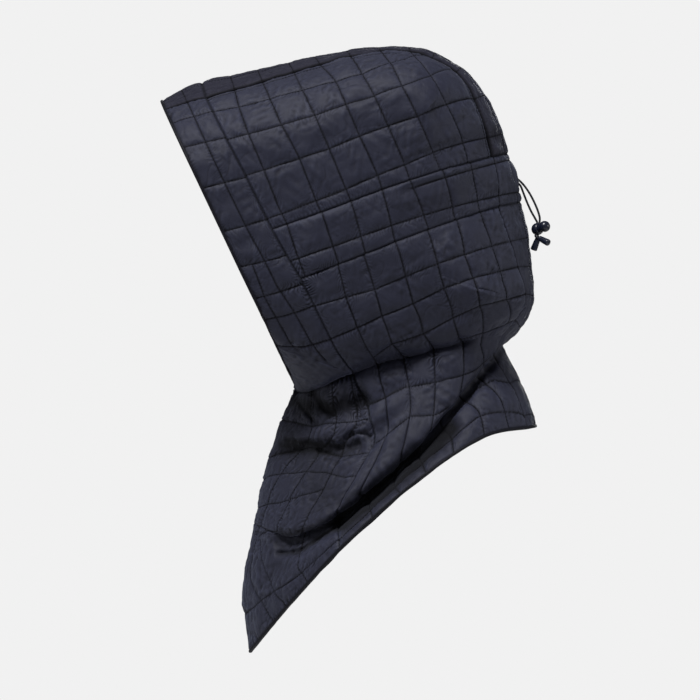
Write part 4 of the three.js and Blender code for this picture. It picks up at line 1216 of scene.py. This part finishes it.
def lay_stitches(points, normals, rows, columns):
    """Stitches along a path given by fractional grid places, evenly spaced along its length."""
    i, j = np.floor(rows).astype(int), np.floor(columns).astype(int)
    i, j = np.minimum(i, points.shape[0] - 2), np.minimum(j, points.shape[1] - 2)
    s, t = (rows - i)[:, None], (columns - j)[:, None]
    blend = lambda g: mix(mix(g[i, j], g[i, j + 1], t), mix(g[i + 1, j], g[i + 1, j + 1], t), s)
    path, up = blend(points), blend(normals)
    run = lengths(path, 0)
    count = int(run[-1] / STITCH_PITCH)
    if count < 1:
        return
    at = (np.arange(count) + 0.5) * run[-1] / count
    sample = lambda values, where: np.stack([np.interp(where, run, values[:, k]) for k in range(3)], axis=-1)
    centre = sample(path, at)
    direction = sample(path, at + 0.8) - sample(path, at - 0.8)
    threads.append(np.concatenate([centre, direction, sample(up, at)], axis=1))


def read_at(a, mirror):
    """Where the table of one half is read: mirror = (middle, sign) gives middle + sign |a - middle|."""
    return a if mirror is None else mirror[0] + mirror[1] * np.abs(a - mirror[0])


def stitch_line(points, normals, line, run, target, across, mirror):
    """Finds a line on the grid, column by column or row by row, and lays stitches along each of its runs. It
    gives target as a function of run. A line down a mirrored panel is laid on both halves."""
    line = np.array(line, float)
    line = line[np.argsort(line[:, 0])]
    seen = read_at(run, mirror) if across else run
    found = np.interp(seen, line[:, 0], line[:, 1])
    inside = (seen >= line[0, 0] - 1e-9) & (seen <= line[-1, 0] + 1e-9)
    rising = target[-1] > target[0]
    keys = target if rising else target[::-1]
    for where in [found] if across or mirror is None else [found, 2 * mirror[0] - found]:
        place = np.interp(where, keys, np.arange(len(keys)))
        place = place if rising else len(keys) - 1 - place
        on_grid = inside & (where > keys[0]) & (where < keys[-1])
        breaks = np.flatnonzero(np.diff(on_grid.astype(int))) + 1
        for piece in np.split(np.arange(len(run)), breaks):
            if len(piece) > 3 and on_grid[piece[0]]:
                spots = place[piece], piece.astype(float)
                lay_stitches(points, normals, *(spots if across else spots[::-1]))


# %% [markdown]
# Neighbouring panels must meet where they are sewn, so both are moved along one shared direction there. The
# panels are therefore sampled first, their border normals averaged with those of whatever lies within a
# millimetre, and only then is the relief raised.

# %% Sampling the panels
# Where a value has four numbers, they are for the first row, the last row, the first column and the last.
FEEL = dict(
    puff=1.0,  # height of the cells
    bite=1.0,  # how far a stitch line draws them down
    sunk=1.2, dark=1.3, reach=0.9,  # depth of a seam below a stitch line, and the reach of its painted shade and of its dip
    soft=1.3, steep=0.45, full=16,  # how the cloth rises from a seam
    ruffle=1.0,  # height of puckers and crumples
    cloth=nylon,
)
CROWN_FEEL = dict(
    puff=0.9, bite=0.3, sunk=0, dark=(1.6, 1.6, 2.4, 2.4), steep=(0.45, 0.45, 0.75, 0.75), full=9, ruffle=0.9,
    cloth=dark_nylon,
)
# the upper side panel's seam with the crown: deeper, and with a wider painted shade
CROWN_SEAM = dict(sunk=(2.4, 1.2, 2.4, 1.2), dark=(3.4, 1.3, 3.4, 1.3), reach=(2.2, 0.9, 2.2, 0.9))
NEAR_SEAM = 1.3  # mm within which border points share their normals
SEAM_REACH = 5  # mm over which a shared border normal fades into the panel's own
sampled = {}


def sample_panel(name, make, a_ends, b_ends, lines, seed, flip=False, mirror=None, **feel):
    """Lays the panel's grid between its ends in a and b. Its stitch lines are those listed under `lines`, and
    a flipped one is the mirror image of what make gives."""
    a, b = even_steps(make, a_ends, b_ends)
    points = make(a, b)
    if flip:
        points, a = points[:, ::-1] * FLIP_X, a[::-1]
    points, depths = fold_in(points)
    sampled[name] = FEEL | feel | dict(
        points=points, normals=normals_of(points), depths=depths,
        a=a, b=b, lines=lines, seed=seed, mirror=mirror,
    )


def edge_rows(grid):
    """The four border lines of a grid: first and last row, first and last column."""
    return [grid[0], grid[-1], grid[:, 0], grid[:, -1]]


def edge_distances(along_a, along_b):
    """How far each point lies from those four borders, by the running lengths across and down."""
    return [along_b, along_b[-1:] - along_b, along_a, along_a[:, -1:] - along_a]


def share_normals():
    """Adds to each panel's normals the change that makes its border normals the mean of all near ones."""
    spots = np.concatenate([row for p in sampled.values() for row in edge_rows(p["points"])])
    ways = np.concatenate([row for p in sampled.values() for row in edge_rows(p["normals"])])
    for p in sampled.values():
        points, normals = p["points"], p["normals"]
        total = normals.copy()
        reach = edge_distances(lengths(points, 1), lengths(points, 0))
        for k, (row, way) in enumerate(zip(edge_rows(points), edge_rows(normals))):
            mean = np.empty_like(way)
            for start in range(0, len(row), 100):
                block = slice(start, start + 100)
                near = np.linalg.norm(row[block, None] - spots, axis=-1) < NEAR_SEAM
                mean[block] = (near[..., None] * ways).sum(axis=1)
            change = unit(mean) - way
            change = change[None] if k < 2 else change[:, None]
            total += np.exp(-((reach[k] / SEAM_REACH) ** 2))[..., None] * change
        p["normals"] = unit(total)


# %% [markdown]
# One function then makes each panel: the relief on the outer face, a shallow one on the lining, and the
# stitches along its lines. Each border reaches a little past its seam, so that no slit is left between two
# panels.

# %% A quilted panel
panels = {}
OVERLAP = 0.4  # mm
THINNEST = 0.4  # mm from the lining to the outer face
SEAM_PUCKER = 1.2  # how much higher the puckers stand at a seam than at a stitch line
PLUMP_SHARE, PLUMP_WAVE = 0.18, 60  # how unevenly the cells are filled
CREASE_DEPTH, CREASE_WAVE, CREASE_WIDTH = 0.32, 26, 0.2  # sharp creases, where a slow random field crosses 0
OPEN_CLOTH = 0.6  # share of the full height from which the cloth lies free of the stitches
HOLLOW_REACH, HOLLOW_DEPTH = 1.5, 0.6  # mm of the blur that finds hollows, and the depth that counts as full painted shade (full painted highlight on a ridge)
# how dark the painted shade is at a seam and along a stitch line, and the reach in mm of the latter
SEAM_SHADE, STITCH_SHADE, STITCH_SHADE_REACH = 0.95, 0.5, 0.9
FOLD_SHADE = 9  # mm of fold depth that count as full painted shade; a negative depth paints highlight


def past_seam(points):
    """Shift of each point: OVERLAP outwards along the cloth on the border, none elsewhere."""
    shift = np.zeros_like(points)
    shift[0] += unit(points[0] - points[1])
    shift[-1] += unit(points[-1] - points[-2])
    shift[:, 0] += unit(points[:, 0] - points[:, 1])
    shift[:, -1] += unit(points[:, -1] - points[:, -2])
    return OVERLAP * shift


def blurred(values, passes):
    """Each value becomes a quarter of both neighbours and half of itself, down and then across."""
    for _ in range(2 * passes):
        padded = np.pad(values, ((1, 1), (0, 0)), mode="edge")
        values = (0.5 * values + 0.25 * (padded[:-2] + padded[2:])).T
    return values


def quilt(name):
    """Raises the relief on a sampled panel. Each line multiplies the height of the cells by a loft of the
    distance to it, and each border does the same; puckers, crumples and the borders' dips are added."""
    p = sampled[name]
    a, b, seed, mirror, normals = p["a"], p["b"], p["seed"], p["mirror"], p["normals"]
    points = p["points"]
    points = points + normals * sum(h * ripple(points, wave, number) for h, wave, number in WAVES)[..., None]
    down, across = np.gradient(points, axis=(0, 1))
    metric = ((across**2).sum(-1), (across * down).sum(-1), (down**2).sum(-1))
    along_a, along_b = lengths(points, 1), lengths(points, 0)
    grid_a, grid_b = np.meshgrid(a, b)
    seen_a = read_at(grid_a, mirror)
    columns = np.arange(len(a))

    def to_length(level):
        """Length down each column at which the parameter b has this value."""
        row = np.interp(level, b, np.arange(len(b)))
        low = np.minimum(row.astype(int), len(b) - 2)
        return mix(along_b[low, columns], along_b[low + 1, columns], row - low)

    lines = [(line, True) for line in ACROSS[p["lines"]]]
    lines += [([(b_at, a_at) for a_at, b_at in line], False) for line in DOWN[p["lines"]]]
    height, relief, sink, shade = np.ones_like(grid_a), *np.zeros((3, *grid_a.shape))
    seam = nearest = np.full_like(grid_a, 99)
    for number, (line, is_across) in enumerate(lines):
        if is_across:
            signed, beyond = line_field(line, seen_a, grid_b, metric, to_length)
        else:
            signed, beyond = line_field(line, grid_b, seen_a, metric)
        distance = np.hypot(signed, beyond)
        height *= 1 - p["bite"] * (1 - loft(distance))
        nearest = np.minimum(nearest, distance)
        along = along_a if is_across else along_b
        relief += pucker(points, along, signed, seed + 10 * number) * np.exp(-beyond)
    edges = list(zip(edge_distances(along_a, along_b), (along_a, along_a, along_b, along_b)))
    if a[0] > a[-1]:
        edges[2:] = edges[:1:-1]
    feel = zip(*(np.broadcast_to(p[key], 4) for key in ("full", "steep", "sunk", "reach", "dark")))
    for number, ((distance, along), (full, steep, sunk, reach, dark)) in enumerate(zip(edges, feel)):
        height *= loft(distance, p["soft"], full, steep)
        seam = np.minimum(seam, distance)
        relief += SEAM_PUCKER * pucker(points, along, distance, seed + 900 + 10 * number)
        sink += sunk * np.exp(-((distance / reach) ** 2))
        shade = np.maximum(shade, SEAM_SHADE * np.exp(-((distance / dark) ** 2)))
    plump = p["puff"] * (1 + PLUMP_SHARE * ripple(points, PLUMP_WAVE, seed + 3))
    crease = CREASE_DEPTH * np.exp(-((ripple(points, CREASE_WAVE, seed + 6) / CREASE_WIDTH) ** 2))
    crumple = crumpled(points, seed + 40) - crease * smooth_step(ripple(points, 45, seed + 7))
    open_cloth = smooth_step(height / OPEN_CLOTH)
    relief = relief * (0.4 + 0.6 * open_cloth) + crumple * open_cloth
    outside = -STITCH_DEPTH + PUFF * plump * height + p["ruffle"] * relief - sink
    inside = -LINING_DEPTH - LINING_PUFF * height - SEAM_TUCK * np.exp(-((seam / TUCK_REACH) ** 2))
    outside = np.maximum(outside, inside + THINNEST)
    # painted shading: shade painted into hollows, seams, stitch lines and folds, and highlight painted on
    # ridges
    passes = max(1, round((HOLLOW_REACH / FINE) ** 2 * 2))
    hollow = (blurred(outside, passes) - outside) / HOLLOW_DEPTH
    shade += STITCH_SHADE * np.exp(-((nearest / STITCH_SHADE_REACH) ** 2)) + p["depths"] / FOLD_SHADE
    gather = np.clip(hollow * (1 - np.minimum(shade, 1)) + shade, -1, 1)
    points = points + past_seam(points)
    outer, inner = (points + normals * level[..., None] for level in (outside, inside))
    panels[name] = cushion_mesh(name, outer, inner, gather, p["cloth"])
    up = normals_of(outer)
    for line, is_across in lines:
        stitch_line(outer, up, line, *((a, b) if is_across else (b, a)), is_across, mirror)
    print(name, outer.shape)


# %% The panels
over_head = hood_patch(lambda a, b: strip_point(b, a))
HALVES, BIB_HALVES = (0, 1), (FRONT_STATION, -1)  # mirror: how the tables of a left half serve both halves
HEM = 9.97  # the cloth ends just inside the hem's binding
sample_panel("band_top", over_head, (-1, 1), (0.012, 1), "face_band_top", 100, mirror=HALVES, **CROWN_FEEL)
sample_panel("crown", over_head, (-1, 1), (1, 11), "crown_panel", 200, mirror=HALVES, **CROWN_FEEL)
sample_panel("casing", hood_patch(casing), (-2, 2), (0, 1), "drawcord_casing", 300, mirror=HALVES)
sample_panel(
    "back", with_neck(back_hood), (-1, 1), (-1, HEM), "back_panel", 400, mirror=HALVES,
    puff=0.45, bite=0.4, sunk=0.6,
)
sample_panel(
    "front", bib_surface, (4, 8), (0, HEM), "bib", 500, mirror=BIB_HALVES,
    puff=0.7, ruffle=1.6, dark=(1.3, 2.4, 1.3, 1.3),
)
for side, flip, more in (("left", False, 0), ("right", True, 5000)):
    sample_panel(
        f"upper_{side}", hood_patch(side_upper), (0, 1), (0, 1), "side_upper", 600 + more, flip, **CROWN_SEAM,
    )
    sample_panel(
        f"band_{side}", hood_patch(face_band), (0, 0.985), (0, 10), "face_band", 700 + more, flip,
        sunk=0.4, dark=(1.3, 1.3, 1.3, 3.4),
    )
    sample_panel(
        f"lower_{side}", with_neck(lower_side_hood), (1, 4), (-1, HEM), "side_lower", 800 + more, flip,
        dark=(1.3, 2.4, 1.3, 1.3),
    )
share_normals()
for name in sampled:
    quilt(name)

# %% [markdown]
# The stitch lines are listed under the frame's own names, so each panel knows which solid it replaces: that
# name, with the side added where there are two.

# %% Which solids they replace
for name, obj in panels.items():
    side = name.rpartition("_")[2]
    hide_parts(sampled[name]["lines"] + (f"_{side}" if side in ("left", "right") else ""))

# %% [markdown]
# ## The threads
# One mesh holds every stitch. A stitch is a spindle of three rings of three points and two tips, so that
# thousands of them stay light.


# %% The stitches as one mesh
STITCH_POINTS = 11


def stitch_mesh(name, rows):
    """Rings at -0.32, 0 and 0.32 of the length, and tips at -0.5 and 0.5, lifted off the cloth in the middle
    and sunk into it at the ends."""
    centre, ahead, up = rows[:, :3], unit(rows[:, 3:6]), rows[:, 6:]
    side = unit(np.cross(ahead, up))
    up = np.cross(side, ahead)
    turn = np.radians([90, 210, 330])
    rings = []
    for along, size in ((-0.32, 0.8), (0, 1), (0.32, 0.8)):
        spoke = np.cos(turn)[:, None, None] * side + np.sin(turn)[:, None, None] * up
        spoke = spoke * STITCH_THICK / 2 * size
        lift = 0.22 - 0.3 * abs(along)
        rings.append(centre + ahead * STITCH_LENGTH * along + up * lift + spoke)
    tips = [centre + ahead * STITCH_LENGTH * along - up * 0.05 for along in (-0.5, 0.5)]
    points = np.concatenate([np.concatenate(rings), np.stack(tips)]).transpose(1, 0, 2).reshape(-1, 3)
    faces = outward(points[:STITCH_POINTS], tube(np.zeros((3, 3, 3))))
    base = STITCH_POINTS * np.arange(len(rows))[:, None, None]
    return mesh_object(name, points, [(f + base).reshape(-1, f.shape[1]) for f in faces], thread)


stitches = stitch_mesh("quilting_thread", np.concatenate(threads))
print("stitches", len(stitches.data.vertices) // STITCH_POINTS, "faces", len(stitches.data.polygons))

# %% [markdown]
# ## The bindings
# A folded tape closes the edge of the face opening and the hem. Its section is a soft rectangle that follows
# the edge, drawn in a little at each stitch of the row that holds it.


# %% A binding along an edge
BINDING_WIDTH, BINDING_HALF, BINDING_MIDDLE = 3.3, 1.75, -1.6
BINDING_STEP = 2  # mm from ring to ring


def edge_frames(edge, inside, outward_normal):
    """Points of an edge with the direction into the cloth and the cloth's outward normal, evenly spaced."""
    into = inside - edge
    run = lengths(np.concatenate([edge, edge[:1]]), 0)
    at = np.linspace(0, run[-1], int(run[-1] / BINDING_STEP), endpoint=False)
    wrap = lambda v: np.concatenate([v, v[:1]])
    sample = lambda v: np.stack([np.interp(at, run, wrap(v)[:, k]) for k in range(3)], axis=-1)
    return sample(edge), unit(sample(into)), unit(sample(outward_normal)), at


def binding(name, edge, inside, normal, seed):
    """Superellipse section |x/w|^2.8 + |y/h|^2.8 = 1, its height up and down by 5 % at every stitch and by 6 %
    at random."""
    points, into, out, run = edge_frames(edge, inside, normal)
    turn = np.linspace(0, 2 * np.pi, 18, endpoint=False)
    soft = lambda v: np.sign(v) * np.abs(v) ** (2 / 2.8)
    wide, tall = soft(np.cos(turn)), soft(np.sin(turn))
    drawn = 1 + 0.05 * np.sin(2 * np.pi * run / 4.4 + 2 * ripple(points, 30, seed))
    drawn = (drawn + 0.06 * ripple(points, 12, seed + 1))[:, None]
    inward = BINDING_WIDTH / 2 * (1 + wide)
    rise = BINDING_MIDDLE + BINDING_HALF * drawn * tall
    rings = points[:, None] + inward[..., None] * into[:, None] + rise[..., None] * out[:, None]
    uv = np.stack(np.broadcast_arrays(run[:, None], 10 * turn / (2 * np.pi)), axis=-1) / DECIMETRE
    flat = rings.reshape(-1, 3)
    obj = mesh_object(name, flat, outward(flat, tube(rings, closed=True)), tape, uv.reshape(-1, 2))
    return obj


def whole_loop(half, bridge=np.empty((0, 3))):
    """Closed line from its left half, the points that lead over to the right and the half's mirror image."""
    return np.concatenate([half[:-1], bridge, (half[::-1] * FLIP_X)[:-1]])


left = hood_patch(face_band)(np.array([0.97, 1]), np.linspace(10, 0, 500))
left_normal = normals_of(left[::-1])[::-1, 1]
forehead = over_head(np.linspace(1, -1, 160)[::-1], np.array([0, 0.05]))
top, top_normal = forehead[:, -2:0:-1], normals_of(forehead)[0, -2:0:-1]
edge, inside = whole_loop(left[:, 1], top[0]), whole_loop(left[:, 0], top[1])
normal = whole_loop(left_normal, top_normal)
face_binding = binding("face_edge", edge, inside, normal, 40)
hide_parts("face_binding")

hem = lower_profile(np.linspace(0, FRONT_STATION, 600), np.array([9.9, 10]))
hem_binding = binding("hem", whole_loop(hem[1]), whole_loop(hem[0]), whole_loop(normals_of(hem)[1]), 50)
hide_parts("hem_binding")
print("bindings:", len(face_binding.data.polygons), len(hem_binding.data.polygons), "faces")

# %% [markdown]
# ## Light and floor
# A pale room gives the even grey-white of the picture. The camera sees it brighter than the cloth does. One
# large soft lamp above the face, on the camera's side, models the cells: their upper left sides catch it.
# Three weaker ones keep the face, the back and the far side from going black. The floor lies below the
# picture.

# %% World, lamps and floor
ROOM_LIGHT, PALE, FLOOR_PALE = 0.2, 0.88, 0.84  # the room's light on the cloth, its look, the floor's darkest
FLOOR_HALF, FLOOR_DEPTH = 1600, 1250  # mm from the middle to each side, and below the crown


def grey(value):
    return (value, value, value, 1)


world = bpy.data.worlds.new("room")
world.use_nodes = True
sky = Wire(world.node_tree)
seen = sky.add("ShaderNodeLightPath")
room = seen.blend(grey(ROOM_LIGHT), grey(PALE))
world.node_tree.links.new(room.socket, world.node_tree.nodes["Background"].inputs["Color"])
bpy.context.scene.world = world
bpy.context.scene.view_settings.view_transform = "Standard"


def soft_lamp(name, place, size, watts):
    lamp = bpy.data.objects.new(name, bpy.data.lights.new(name, "AREA"))
    lamp.data.shape, lamp.data.size, lamp.data.energy = "DISK", size, watts
    lamp.location = place
    lamp.rotation_euler = (FRAME_MIDDLE - Vector(place)).to_track_quat("-Z", "Y").to_euler()
    bpy.context.scene.collection.objects.link(lamp)


soft_lamp("key", (1.4, -0.7, 2.25), 0.8, 114)
soft_lamp("left", (0.5, -2.4, -0.2), 0.8, 9)
soft_lamp("right", (0.5, 2.4, 0.2), 0.8, 18)
soft_lamp("far", (-2.2, 0.2, 0), 1.2, 14)
paint = new_material(
    "floor_paint",
    lambda wire: {"Base Color": object_place(wire).noise(3, 2).blend(grey(FLOOR_PALE), grey(PALE))},
    Roughness=0.9,
)
corners = np.array([[-1, -1], [1, -1], [1, 1], [-1, 1]]) * FLOOR_HALF
floor = mesh_object("floor", np.insert(corners, 2, -FLOOR_DEPTH, axis=1), [np.array([[0, 1, 2, 3]])], paint)
